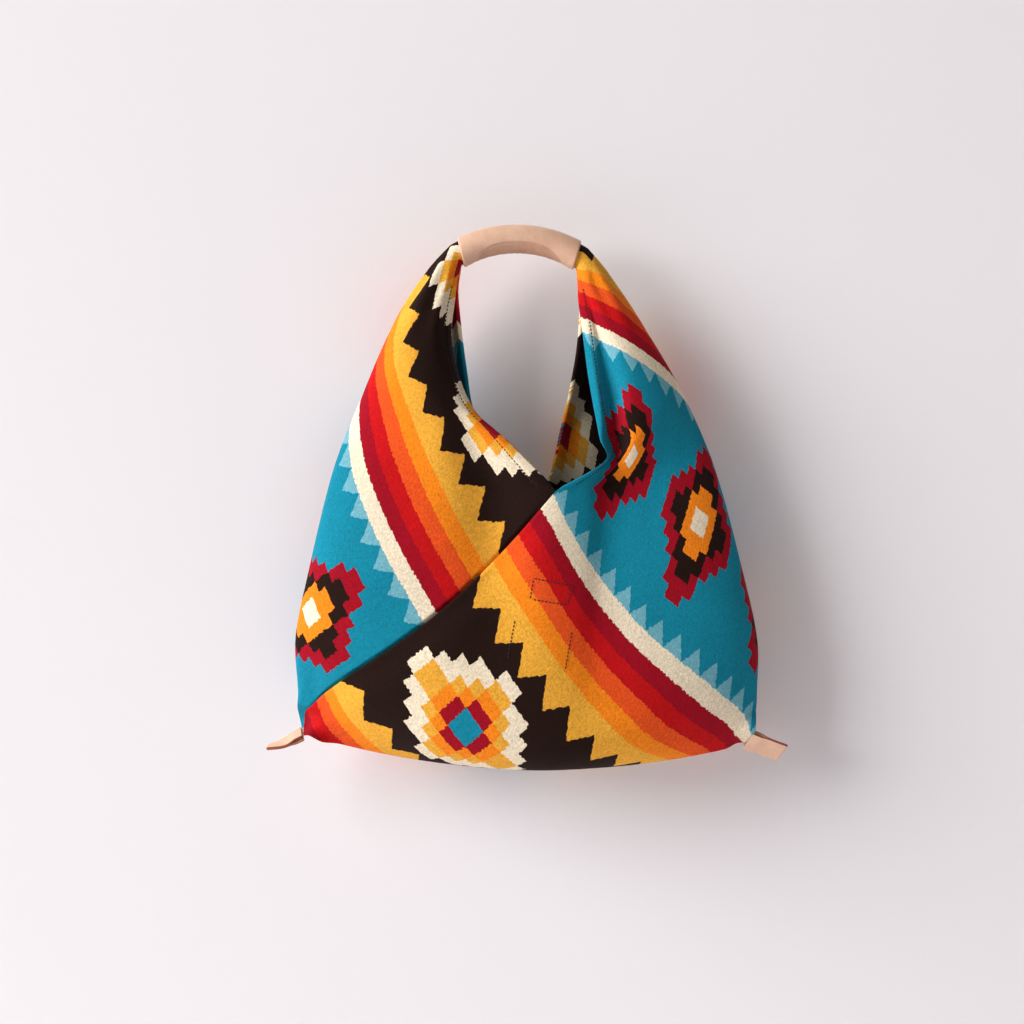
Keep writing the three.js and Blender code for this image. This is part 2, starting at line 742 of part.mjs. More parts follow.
const azumaBag = new THREE.Group();
function add(name, geometry, look) {
  geometry.computeVertexNormals();
  const mesh = new THREE.Mesh(geometry, new THREE.MeshStandardMaterial(look));
  mesh.name = name;
  azumaBag.add(mesh);
}

add("cloth_body", fromSolid(cloth), WOOL);
add("handle_wrap", movePoints(joined(handlePatches()), leanTop), LEATHER);
add("corner_tab_left", tabGeometry(LEFT_TAB), LEATHER);
add("corner_tab_right", tabGeometry(RIGHT_TAB), LEATHER);

export default azumaBag;
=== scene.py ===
import math

import bmesh
import bpy
import numpy as np
from mathutils import Euler, Matrix, Vector


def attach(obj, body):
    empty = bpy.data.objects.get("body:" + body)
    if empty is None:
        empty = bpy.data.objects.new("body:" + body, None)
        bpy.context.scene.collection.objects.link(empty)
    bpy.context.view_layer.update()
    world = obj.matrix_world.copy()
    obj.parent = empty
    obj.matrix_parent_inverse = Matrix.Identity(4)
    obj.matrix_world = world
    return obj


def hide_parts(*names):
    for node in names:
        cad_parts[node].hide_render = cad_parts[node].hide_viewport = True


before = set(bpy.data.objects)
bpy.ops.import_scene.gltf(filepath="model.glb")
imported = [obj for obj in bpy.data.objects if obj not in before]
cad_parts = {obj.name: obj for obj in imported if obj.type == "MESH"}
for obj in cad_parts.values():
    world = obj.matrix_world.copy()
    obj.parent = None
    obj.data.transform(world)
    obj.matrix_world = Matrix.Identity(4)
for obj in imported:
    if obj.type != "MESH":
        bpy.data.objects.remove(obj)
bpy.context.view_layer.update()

# Looks of an azuma bag of one wool strip, hanging by its leather handle.
# The shape is worked out in millimetres and made in metres.
MM = 0.001

# Sizes of the cloth bag, and the tilt of its bottom in degrees
HALF_WIDTH = 197
HALF_DEPTH = 53.5
HANG_DROP = 440
NOTCH_DROP = 203
FRONT_NOTCH_SHIFT = 27
BACK_NOTCH_SHIFT = 16
CLOTH = 3
STRIP_WIDTH = 300
LAP_STEP = 2.2
LAP_FADE = 45
SEAM_PUFF = 1.6
SEAM_PUFF_WIDTH = 8
SEAM_ROUND = 2.6
SEAM_DIP = 7
SEAM_DIP_REACH = [42, 14]
SEAM_CLEFT = 4
SEAM_ALLOWANCE = 2.5
SEAM_ALLOWANCE_WIDTH = 8
SEAM_CLEFT_REACH = [1.5, 2.8]
SEAM_SWELL = 0.15
CORNER_SOLID = 24
HANG_TILT = 2.2
HEM_WIDTH = 10
HEM_RISE = 1.3
HEM_ROUND = 1.6
HEM_STEP = [-1.5, 2]
HEM_GROOVE_WIDTH = 1.3

# Shares of the hem's rise for the groove of its stitches and for the lining
GROOVE_SHARE = 0.9
LINING_SHARE = 0.7

# Where the lap seam starts and ends, as shares of its run
SEAM_START = [0, 0.14]
SEAM_END = [0.86, 1]

# Sizes of the stitches. The span is in shares of a stitch, and bow, sink and tip are shares of the radius
STITCH_LENGTH = 3.2
STITCH_INSET = 0.5
THREAD_RADIUS = 0.5
STITCH_SPAN = [0.07, 0.93]
STITCH_BOW = 1.3
STITCH_SINK = 0.7
THREAD_TIP = 0.35

# Sizes of the handle, and its lean in degrees
HANDLE_DIAMETER = 25.2
HANDLE_LENGTH = 104
HANDLE_ARC_RADIUS = 103
HANDLE_LEATHER = 2.2
HANDLE_END_SLANT = 2.8
ROLL_WALL = 6.4
ROLL_LEAD = 1.8
FIT_GAP = 0.3
CREASE_DEPTH = 1.3
CREASE_WIDTH = 0.9
TUCK_WIDTH = 2.5
RIPPLE_DEPTH = 0.12
END_ROUND = 0.5
HANDLE_LEAN = 2.5
LEAN_FROM = 75
LEAN_TO = 190

# Sizes of the corner tabs and of the cloth in them. The pinch is a share, and the angle is in degrees
TAB_LENGTH = 32.5
TAB_WIDTH = 21
TAB_LEATHER = 1.4
TAB_SLOT_DEPTH = 14
TAB_OVERLAP = 5.6
TONGUE_THICKNESS = 2.2
TONGUE_REACH = 7
CORNER_TWIST_FROM = 12.5
CORNER_TWIST_TO = 27
CORNER_SHIFT_TO = 36
CORNER_PINCH = 0.3
CORNER_THICK = 0.6
CORNER_ROUND = 0.5
TAB_EDGE_ROUND = 0.5
TAB_SHARP_ANGLE = 50

# How each tab lies, in degrees: dip below level, yaw to the back, twist on its own length, further twist
# up to its far end, and upward bend. Sway and sag shift its corner to the right and down
LEFT_TAB = {"side": -1, "dip": 25, "yaw": 0, "twist": 74, "wring": 13, "bend": 20, "sway": -3.4, "sag": 3}
RIGHT_TAB = {"side": 1, "dip": 24, "yaw": 8, "twist": 45, "wring": 0, "bend": 6, "sway": -1.4, "sag": 0}

# Mesh fineness
BODY_ROWS = 64
EAR_ROWS = 100
OUTER_COLUMNS = 56
INNER_COLUMNS = 24
RIM_COLUMNS = 5
ROW_CROWD = 1.35
COLUMN_CROWD = 1.3
TAB_STEPS = 26
TAB_END_STEPS = 8
TAB_LAYERS = 9
BEVEL_STEPS = 3
HANDLE_TURNS = 144
HANDLE_STEPS = 96
HANDLE_END_ROWS = 5
STITCH_POINTS = 7
THREAD_SIDES = 9
HEM_ROW_POINTS = 400
FRONT_ROW_POINTS = 60
WELD = 1e-5
SLIVER = 1e-6

# Values that follow from the sizes
HANDLE_RADIUS = HANDLE_DIAMETER / 2
ROLL_RADIUS = HANDLE_RADIUS - HANDLE_LEATHER - FIT_GAP
HANDLE_HALF_ANGLE = HANDLE_LENGTH / 2 / HANDLE_ARC_RADIUS
ARC_CENTRE_Z = HANDLE_RADIUS - HANDLE_ARC_RADIUS
ROLL_ANGLE = HANDLE_HALF_ANGLE + (HANDLE_END_SLANT + ROLL_LEAD) / HANDLE_ARC_RADIUS

# Height goes from 0 at the bottom line over 1 at the foot of the V opening to 2 at the middle of the
# handle. Reach goes from 0 at the outer fold to 1 at the middle line or the open edge.
# Each row below starts with a height. For the fold and the edges, shares of the half width and of the drop
# follow. For the middle line it is a share of the drop below the V, for the depth a share of the half depth,
# for a curl quarter turns, and for a valley its place beside the middle line and a share of the half depth.
ROLL_START = 1.75
ROLL_TURN = 1.8
FOLD_ROUND = 0.12
OUTER_FOLD = [
    [0, 0.985, 0.9375],
    [0.15, 0.994, 0.845],
    [0.32, 1, 0.748],
    [0.52, 0.949, 0.632],
    [0.9, 0.827, 0.418],
    [1.14, 0.706, 0.284],
    [1.43, 0.538, 0.136],
    [1.66, 0.352, 0.014],
]
FRONT_LEFT_EDGE = [
    [1.21, 0.084, 0.768],
    [1.33, 0.203, 0.645],
    [1.52, 0.289, 0.384],
    [1.66, 0.272, 0.163],
]
FRONT_RIGHT_EDGE = [
    [1.17, 0.355, 0.872],
    [1.24, 0.335, 0.783],
    [1.4, 0.306, 0.53],
    [1.54, 0.288, 0.32],
    [1.66, 0.261, 0.153],
]
BACK_LEFT_EDGE = [
    [1.12, 0.124, 0.926],
    [1.26, 0.175, 0.74],
    [1.4, 0.23, 0.56],
    [1.52, 0.268, 0.384],
    [1.66, 0.272, 0.163],
]
BACK_RIGHT_EDGE = [
    [1.17, 0.06, 0.88],
    [1.27, 0.15, 0.74],
    [1.36, 0.203, 0.645],
    [1.46, 0.222, 0.5],
    [1.56, 0.245, 0.34],
    [1.66, 0.261, 0.18],
]
MIDDLE_LINE = [
    [-0.1, 0.979],
    [0, 1],
    [0.1, 0.979],
    [0.2, 0.911],
    [0.3, 0.802],
    [0.45, 0.633],
    [0.6, 0.464],
    [0.8, 0.232],
    [1, 0],
]
LEVEL_DEPTH = [
    [-0.1, -0.486],
    [0, 0],
    [0.1, 0.486],
    [0.2, 0.822],
    [0.3, 0.953],
    [0.45, 1],
    [0.6, 0.972],
    [0.8, 0.86],
    [1, 0.71],
    [1.25, 0.673],
    [1.5, 0.449],
    [1.66, 0.265],
    [ROLL_START, ROLL_RADIUS / HALF_DEPTH],
]
LEFT_CURL = [[1, 1], [1.1, 1.12], [1.21, 1.3], [1.33, 1.55], [1.52, 1.78], [ROLL_START, ROLL_TURN]]
RIGHT_CURL = [[1, 1], [1.17, 1.2], [1.4, 1.5], [1.54, 1.62], [ROLL_START, ROLL_TURN]]
RIGHT_VALLEY = [
    [0.2, 0.21, 0],
    [0.45, 0.235, 0.17],
    [0.7, 0.262, 0.31],
    [0.9, 0.285, 0.39],
    [1, 0.28, 0.4],
    [1.08, 0.17, 0.38],
    [1.17, 0.07, 0.36],
    [1.3, 0.168, 0.28],
    [1.5, 0.236, 0.13],
    [1.66, 0.277, 0],
]
LEFT_VALLEY = [
    [0.4, -0.14, 0],
    [0.7, -0.195, 0.11],
    [1, -0.277, 0.17],
    [1.15, -0.25, 0.13],
    [1.4, -0.209, 0],
]
RIGHT_VALLEY_REACH = [0.06, 0.15]
RIGHT_FLANK_REACH = [0.3, 0.55]
FLANK_SHIFT = 0.12
FLANK_SHARE = 0.75
FLANK_FADE = [0.92, 1.2]
LEFT_VALLEY_REACH = [0.12, 0.12]
VALLEY_ACROSS = [1, 1.15]
GATHER_RISE = 1.3
GATHERS = 3
GATHER_IN = [1.36, 1.56]
GATHER_OUT = [1.62, 1.7]
HEM_IN = [1, 1.03]
HEM_OUT = [1.6, 1.72]
RIM_OUT = [1.6, 1.75]
HEM_STITCHES = [1.03, 1.66]
SAG_FADE = [1, 1.3]
BOTTOM_ROUND = 0.3
NOTCH_BEND = 1.5
THICKER_FROM = 1.5
EVEN_ANGLES_FROM = 1.1
EDGE_CLEAR = [0, 0.12]
SLACK_END = [1.5, 1.7]
CORNER_SOLID_TOP = 0.25
CORNER_SOLID_BEND = 1.5

# Slack of the cloth: the rise of its waves, and for two crossing ripples their turns across and up and start
BROAD_RISE = 0.9
BROAD_RIPPLES = [[5.3, 3.1, 0.7], [-2.3, 4.1, 1.1]]
FINE_RISE = 0.45
FINE_RIPPLES = [[11.7, -7.3, 2.2], [5.3, 9.1, 0]]
PULL_RISE = 1.5
PULLS = 9
PULL_FROM = [0.03, 0.12]
PULL_FADE = 0.22

# Small steps of reach and height for the ways along the cloth, and amounts that count as nothing
CLIMB_STEP = 0.02
RIM_STEP = 0.02
SEAM_STEP = 0.03
REACH_STEP = 0.01
HEIGHT_STEP = 0.005
SEAM_TOUCH = 0.01
CORNER_TOUCH = 1e-6
TINY = 1e-9

# The long crease of the handle, as angles and a share of its length, the shade painted darker on the leather
# under it, and the fine ripples of the leather there
CREASE_END = 0.16
CREASE_MIDDLE = 1.23
CREASE_SPAN = 0.84
CREASE_BEND = 4
CREASE_SHADE = [-1.2, 0.8]
CREASE_SHADE_GAIN = 1.6
TUCK_SHARE = 0.45
RIPPLES = 46
RIPPLE_DRIFT = [2, 7]
RIPPLE_FROM = [1.9, 2.7]
END_ROUND_FROM = 0.985


def smoothstep(value, low, high):
    """A soft step from 0 at low to 1 at high."""
    t = np.clip((value - low) / (high - low), 0, 1)
    return t * t * (3 - 2 * t)


def unit(vectors):
    return vectors / np.maximum(np.linalg.norm(vectors, axis=-1, keepdims=True), TINY)


def along(rows, column, at):
    """One smooth column of a list, read at heights."""
    table = np.array(rows, float)
    knots = table[:, 0]
    values = table[:, column]
    low = np.maximum(np.arange(len(table)) - 1, 0)
    high = np.minimum(np.arange(len(table)) + 1, len(table) - 1)
    slope = (values[high] - values[low]) / (knots[high] - knots[low])
    n = np.searchsorted(knots[1:-1], at)
    span = knots[n + 1] - knots[n]
    t = np.clip((at - knots[n]) / span, 0, 1)
    rise = values[n + 1] - values[n]
    bend = t * (1 - t) * span * (slope[n] * (1 - t) - slope[n + 1] * t)
    return values[n] + rise * t * t * (3 - 2 * t) + bend


def handle_point(angle):
    """The handle's middle line at angles from the top of its arc, and the way out from its centre."""
    out = np.stack([np.sin(angle), np.zeros_like(angle), np.cos(angle)], -1)
    at = out * HANDLE_ARC_RADIUS
    at[..., 2] += ARC_CENTRE_Z
    return at, out


def roll_at(side, height):
    """The rolled ring of cloth in the handle: its outer and inner end."""
    share = np.clip((height - ROLL_START) / (2 - ROLL_START), 0, 1)
    at, out = handle_point(side * ROLL_ANGLE * (1 - share))
    return at + out * ROLL_RADIUS, at + out * ROLL_RADIUS * math.cos(ROLL_TURN * math.pi / 2)


def into_roll(rows, point, drop):
    """A line of the cloth, led on to where the roll starts."""
    return rows + [[ROLL_START, point[0] / HALF_WIDTH, -point[2] / drop]]


ROLL_FOLD, ROLL_EDGE = roll_at(1, np.array(ROLL_START))
FOLD_LINE = into_roll(OUTER_FOLD, ROLL_FOLD, HANG_DROP)


class Face:
    """One face of the bag: how far the foot of its V lies to the right, and its two open edges."""

    def __init__(self, shift, left_edge, right_edge, turned):
        self.shift = shift
        self.turned = turned
        self.edges = {}
        for side, rows in ((-1, left_edge), (1, right_edge)):
            foot = [1, side * shift / HALF_WIDTH, 1]
            self.edges[side] = into_roll([foot] + rows, ROLL_EDGE, NOTCH_DROP)


FRONT = Face(FRONT_NOTCH_SHIFT, FRONT_LEFT_EDGE, FRONT_RIGHT_EDGE, False)
BACK = Face(-BACK_NOTCH_SHIFT, BACK_LEFT_EDGE, BACK_RIGHT_EDGE, True)


def fold_at(side, height):
    """The outer fold on one side of the bag."""
    x = side * HALF_WIDTH * along(FOLD_LINE, 1, height)
    z = -HANG_DROP * along(FOLD_LINE, 2, height)
    return np.stack([x, np.zeros_like(x), z], -1)


def level_at(face, side, height):
    """One level of the sheet: outer fold, inner end, inward way, depth, curl and wall."""
    rolled = (height >= ROLL_START)[..., None]
    ring_fold, ring_edge = roll_at(side, height)
    free = np.minimum(height, ROLL_START)
    fold = fold_at(side, free)
    above = np.minimum(free + CLIMB_STEP, ROLL_START)
    below = np.maximum(free - CLIMB_STEP, 0)
    climb = fold_at(side, above) - fold_at(side, below)
    inward = unit(np.stack([-side * climb[..., 2], np.zeros_like(free), side * climb[..., 0]], -1))
    low_x = face.shift * np.minimum(free, 1) ** NOTCH_BEND
    low_z = -NOTCH_DROP - (HANG_DROP - NOTCH_DROP) * along(MIDDLE_LINE, 1, np.minimum(free, 1))
    high_x = side * HALF_WIDTH * along(face.edges[side], 1, np.maximum(free, 1))
    high_z = -NOTCH_DROP * along(face.edges[side], 2, np.maximum(free, 1))
    edge_x = np.where(free <= 1, low_x, high_x)
    edge_z = np.where(free <= 1, low_z, high_z)
    edge = np.stack([edge_x, np.zeros_like(edge_x), edge_z], -1)
    curls = LEFT_CURL if side < 0 else RIGHT_CURL
    return {
        "fold": np.where(rolled, ring_fold, fold),
        "edge": np.where(rolled, ring_edge, edge),
        "inward": np.where(rolled, unit(ring_edge - ring_fold), inward),
        "depth": HALF_DEPTH * along(LEVEL_DEPTH, 1, free),
        "curl": np.where(free <= 1, 1, along(curls, 1, np.maximum(free, 1))),
        "wall": CLOTH + (ROLL_WALL - CLOTH) * smoothstep(free, THICKER_FROM, ROLL_START),
    }


def turn_at(curl, reach, height):
    """How far round its level a point lies: even steps of cloth on the body, even angles on the roll."""
    full = curl * np.pi / 2
    flat = (np.hypot(reach, FOLD_ROUND) - FOLD_ROUND) / (math.hypot(1, FOLD_ROUND) - FOLD_ROUND)
    even = np.arccos(np.clip(1 - flat * (1 - np.cos(full)), -1, 1))
    return even + (full * reach - even) * smoothstep(height, EVEN_ANGLES_FROM, ROLL_START)


def valley_at(side, off, height):
    """The hanging folds: how far a face is pushed in at a reach off the middle line."""
    push = np.zeros_like(height)
    folds = ((RIGHT_VALLEY, 1, RIGHT_VALLEY_REACH), (LEFT_VALLEY, -1, LEFT_VALLEY_REACH))
    for rows, home, width in folds:
        inside = (height > rows[0][0]) & (height < rows[-1][0])
        across = 1 if home == side else 1 - smoothstep(height, *VALLEY_ACROSS)
        away = off - along(rows, 1, height)
        fold = valley_shape(away, width)
        if home > 0:
            low = FLANK_SHARE * (1 - smoothstep(height, *FLANK_FADE))
            fold += low * (valley_shape(away - FLANK_SHIFT, RIGHT_FLANK_REACH) - fold)
        push += inside * across * HALF_DEPTH * along(rows, 2, height) * fold
    return push


def valley_shape(away, width):
    """The rounded section of a fold, with its own width on each side."""
    place = away / np.where(away < 0, *width)
    return np.exp(-place * place)


def seam_place(off, height):
    """How far a point lies beside the lap seam, towards the outer panel, and the fade at its ends."""
    away = (1 + off - height) * STRIP_WIDTH / 2
    run = (1 + off + height) / 2
    ends = smoothstep(run, *SEAM_START) * (1 - smoothstep(run, *SEAM_END)) * smoothstep(height, *EDGE_CLEAR)
    return away, ends * smoothstep(1 - np.abs(off), *EDGE_CLEAR)


def seam_dip(off, height):
    """The pull of the seam: both panels dip towards it."""
    away, ends = seam_place(off, height)
    width = np.where(away < 0, *SEAM_DIP_REACH)
    return ends * SEAM_DIP * np.exp(-((away / width) ** 2))


def lap_at(off, height, lapped):
    """The lap seam: the puffed edge of the outer panel, or the cleft beside it in the inner one."""
    away, ends = seam_place(off, height)
    if lapped:
        puff = SEAM_PUFF * np.exp(-((away / SEAM_PUFF_WIDTH) ** 2))
        inside = np.clip(1 - away / SEAM_ROUND, 0, 1)
        shoulder = SEAM_ROUND * (1 - np.sqrt(1 - inside * inside))
        step = LAP_STEP * (1 - smoothstep(away, 0, LAP_FADE))
        return np.where(away < -SEAM_TOUCH, 0, ends * (step + puff - shoulder))
    return -ends * SEAM_CLEFT * (1 - smoothstep(-away, *SEAM_CLEFT_REACH))


def gather_at(reach, height):
    """Small gathers where the ears are drawn into the handle."""
    near = smoothstep(height, *GATHER_IN) * (1 - smoothstep(height, *GATHER_OUT))
    return GATHER_RISE * near * np.cos(2 * np.pi * GATHERS * reach)


def hem_at(reach, height):
    """The turned hem along an open edge, with the groove of its stitch row."""
    away = (2 - height) * (1 - reach) * STRIP_WIDTH / 2 - HEM_WIDTH
    ends = smoothstep(height, *HEM_IN) * (1 - smoothstep(height, *HEM_OUT))
    raised = HEM_RISE * (1 - smoothstep(away, *HEM_STEP))
    groove = GROOVE_SHARE * HEM_RISE * np.exp(-(((away + STITCH_INSET) / HEM_GROOVE_WIDTH) ** 2))
    return np.where(height > 1, ends * (raised - groove), 0)


def ripples_at(ripples, x, height):
    """Two ripples that cross each other."""
    first, second = (np.sin(across * x + up * height + start) for across, up, start in ripples)
    return first * second


def wrinkle_at(side, reach, height):
    """Slack in the hanging cloth: broad and fine waves, and pulls that run out from the pinched corners."""
    flat_x = side * (1 - reach * np.minimum(1, 2 - height))
    clear = smoothstep(reach, *EDGE_CLEAR) * smoothstep(height, *EDGE_CLEAR)
    clear *= 1 - smoothstep(height, *SLACK_END)
    broad = ripples_at(BROAD_RIPPLES, flat_x, height)
    fine = ripples_at(FINE_RIPPLES, flat_x, height)
    beside = 1 - np.abs(flat_x)
    away = np.hypot(beside, height)
    angle = np.arctan2(height, beside + CORNER_TOUCH)
    pull = np.cos(PULLS * angle) * smoothstep(away, *PULL_FROM) * np.exp(-away / PULL_FADE)
    return clear * (BROAD_RISE * broad + FINE_RISE * fine + PULL_RISE * pull)


def sheet_point(face, side, reach, height, lift):
    """Points of the sheet at a reach and height, lifted off the plain outer face."""
    level = level_at(face, side, height)
    turn = turn_at(level["curl"], reach, height)
    way = level["edge"] - level["fold"]
    share = (1 - np.cos(turn)) / (1 - np.cos(level["curl"] * np.pi / 2))
    sag = 1 - smoothstep(height, *SAG_FADE)
    point = level["fold"] + way * share[..., None]
    point[..., 2] += way[..., 2] * sag * share * (1 - share)
    off = side * (1 - reach)
    point[..., 1] = (valley_at(side, off, height) - level["depth"]) * np.sin(turn)
    flank = np.where(height < 1, np.clip(level["depth"] / HALF_DEPTH, 0, 1), 1)
    inwards = np.where((turn < np.pi / 2)[..., None], level["inward"], unit(way))
    point -= inwards * (lift * np.cos(turn))[..., None]
    point[..., 1] -= lift * np.sin(turn) * flank
    point[..., 2] -= lift * (1 - smoothstep(height, 0, BOTTOM_ROUND)) * np.sin(turn)
    return point


def outer_lift(side, reach, height, lapped):
    """How far the outer face stands off its plain form."""
    off = side * (1 - reach)
    seam = lap_at(off, height, lapped) - seam_dip(off, height)
    return gather_at(reach, height) + hem_at(reach, height) + wrinkle_at(side, reach, height) + seam


def outer_point(face, side, reach, height, lapped):
    return sheet_point(face, side, reach, height, outer_lift(side, reach, height, lapped))


def lining_point(face, side, reach, height):
    """The lining face lies one wall inside, and stays clear of the pinched corners."""
    level = level_at(face, side, height)
    off = side * (1 - reach)
    away, ends = seam_place(off, height)
    allowance = ends * SEAM_ALLOWANCE * np.exp(-((away / SEAM_ALLOWANCE_WIDTH) ** 2))
    hem = LINING_SHARE * np.maximum(hem_at(reach, height), 0)
    lift = wrinkle_at(side, reach, height) - level["wall"] - hem - seam_dip(off, height) - allowance
    point = sheet_point(face, side, reach, height, lift)
    inset = CORNER_SOLID * np.maximum(0, 1 - height / CORNER_SOLID_TOP) ** CORNER_SOLID_BEND
    point[..., 0] -= side * inset * np.cos(reach * np.pi / 2)
    return point


def strip_place(side, reach, height, lapped):
    """Where a point of the front lies on the flat strip, along it and across it."""
    flat_x = side * (1 - reach * np.minimum(1, 2 - height))
    seam_run = STRIP_WIDTH * (1 + flat_x + height) / 2
    seam_off = STRIP_WIDTH * (1 + flat_x - height) / 2
    if lapped:
        return np.stack([STRIP_WIDTH + seam_run, seam_off], -1)
    return np.stack([STRIP_WIDTH - seam_run, -seam_off], -1)


def tab_axes(tab):
    """A tab's own axes: along its length, out of its face, and across its width."""
    dip, yaw, twist = (math.radians(tab[key]) for key in ("dip", "yaw", "twist"))
    level = math.cos(dip)
    length = np.array([tab["side"] * level * math.cos(yaw), level * math.sin(yaw), -math.sin(dip)])
    down = unit(np.array([0, 0, -1]) + length * length[2])
    cross = np.cross(length, down)
    width = unit(down * math.cos(twist) + cross * math.sin(twist))
    return length, unit(np.cross(width, length)), width


def tilt_bottom(points):
    """The bottom hangs a little lower on the right."""
    share = smoothstep(-points[..., 2], NOTCH_DROP, HANG_DROP * OUTER_FOLD[0][2])
    drop = math.tan(math.radians(HANG_TILT)) * points[..., 0] * share
    return np.stack([points[..., 0], points[..., 1], points[..., 2] - drop], -1)


def corner_tip(tab):
    return tilt_bottom(fold_at(tab["side"], np.zeros(1)))[0]


def corner_shift(tab):
    return np.array([tab["sway"], 0, -tab["sag"]])


def tab_start(tab):
    """A tab starts on the cloth, a little inside the tip of the shifted corner."""
    return corner_tip(tab) + corner_shift(tab) - tab_axes(tab)[0] * TAB_OVERLAP


def twist_corner(tab, points):
    """The cloth near a corner is pinched flat, turns with its tab and is shifted."""
    straight = np.stack(tab_axes({**tab, "yaw": 0, "twist": 0}), -1)
    turned = np.stack(tab_axes(tab), -1)
    axis, angle = Matrix((turned @ straight.T).tolist()).to_quaternion().to_axis_angle()
    axis = np.array(axis)
    tip = corner_tip(tab)
    away = points - tip
    reach = np.linalg.norm(away, axis=-1)
    share = 1 - smoothstep(reach, CORNER_TWIST_FROM, CORNER_TWIST_TO)
    shifted = 1 - smoothstep(reach, CORNER_TWIST_FROM, CORNER_SHIFT_TO)
    body = CORNER_THICK * share * np.tanh(away[..., 1] / CORNER_ROUND)
    away[..., 1] = away[..., 1] * (1 + (CORNER_PINCH - 1) * share) + body
    cos = np.cos(angle * share)[..., None]
    sin = np.sin(angle * share)[..., None]
    on_axis = np.sum(away * axis, -1, keepdims=True) * axis
    moved = away * cos + np.cross(axis, away) * sin + on_axis * (1 - cos)
    return tip + moved + corner_shift(tab) * shifted[..., None]


def lean_top(points):
    """The top leans on the hook: the whole handle, and less and less of the cloth below it."""
    share = 1 - smoothstep(np.linalg.norm(points, axis=-1), LEAN_FROM, LEAN_TO)
    angle = math.radians(HANDLE_LEAN) * share
    x = points[..., 0] * np.cos(angle) + points[..., 2] * np.sin(angle)
    z = points[..., 2] * np.cos(angle) - points[..., 0] * np.sin(angle)
    return np.stack([x, points[..., 1], z], -1)


def in_bag(face, points):
    """Points of a face where they lie in the bag: the back is turned half round, the corners twist."""
    if face.turned:
        points = points * [-1, -1, 1]
    return lean_top(twist_corner(RIGHT_TAB, twist_corner(LEFT_TAB, tilt_bottom(points))))


class Patches:
    """Grids of points that are joined into one mesh, with a place on the strip for each corner."""

    def __init__(self):
        self.points = []
        self.places = []
        self.faces = []
        self.slots = []
        self.count = 0

    def add(self, points, places, flip, slot):
        rows, columns = points.shape[:2]
        index = np.arange(rows * columns).reshape(rows, columns) + self.count
        quads = [index[:-1, :-1], index[:-1, 1:], index[1:, 1:], index[1:, :-1]]
        faces = np.stack(quads, -1).reshape(-1, 4)
        self.points.append(points.reshape(-1, 3))
        self.places.append(places.reshape(-1, 2))
        self.faces.append(faces[:, ::-1] if flip else faces)
        self.slots.append(np.full(len(faces), slot))
        self.count += rows * columns

    def add_cloth(self, face, points, places, flip, slot):
        """A patch of one face of the bag, with its place on the strip."""
        if face.turned:
            places = np.array([3 * STRIP_WIDTH, STRIP_WIDTH]) - places
        self.add(in_bag(face, points), places, flip, slot)

    def made(self, name, materials):
        points = np.concatenate(self.points) * MM
        places = np.concatenate(self.places) * MM
        faces = np.concatenate(self.faces)
        mesh = bpy.data.meshes.new(name)
        mesh.from_pydata(points.tolist(), [], faces.tolist())
        layer = mesh.uv_layers.new(name="strip")
        layer.data.foreach_set("uv", places[faces.reshape(-1)].astype(np.float32).reshape(-1))
        mesh.polygons.foreach_set("material_index", np.concatenate(self.slots).astype(np.int32))
        shape = bmesh.new()
        shape.from_mesh(mesh)
        bmesh.ops.remove_doubles(shape, verts=shape.verts, dist=WELD)
        bmesh.ops.dissolve_degenerate(shape, edges=shape.edges, dist=SLIVER)
        bmesh.ops.recalc_face_normals(shape, faces=shape.faces)
        shape.to_mesh(mesh)
        shape.free()
        return placed(name, mesh, materials)


def placed(name, mesh, materials):
    """A smooth mesh as an object of the scene."""
    mesh.polygons.foreach_set("use_smooth", np.ones(len(mesh.polygons), bool))
    piece = bpy.data.objects.new(name, mesh)
    bpy.context.scene.collection.objects.link(piece)
    for material in materials:
        mesh.materials.append(material)
    return piece


def body_heights():
    """Heights of the body's rows, closer together near the bottom corners."""
    return np.linspace(0, 1, BODY_ROWS + 1) ** ROW_CROWD


def row_heights():
    return np.concatenate([body_heights(), np.linspace(1, 2, EAR_ROWS + 1)[1:]])


def cloth_patches():
    patches = Patches()
    for face in (FRONT, BACK):
        for side in (-1, 1):
            add_half_face(patches, face, side)
    return patches


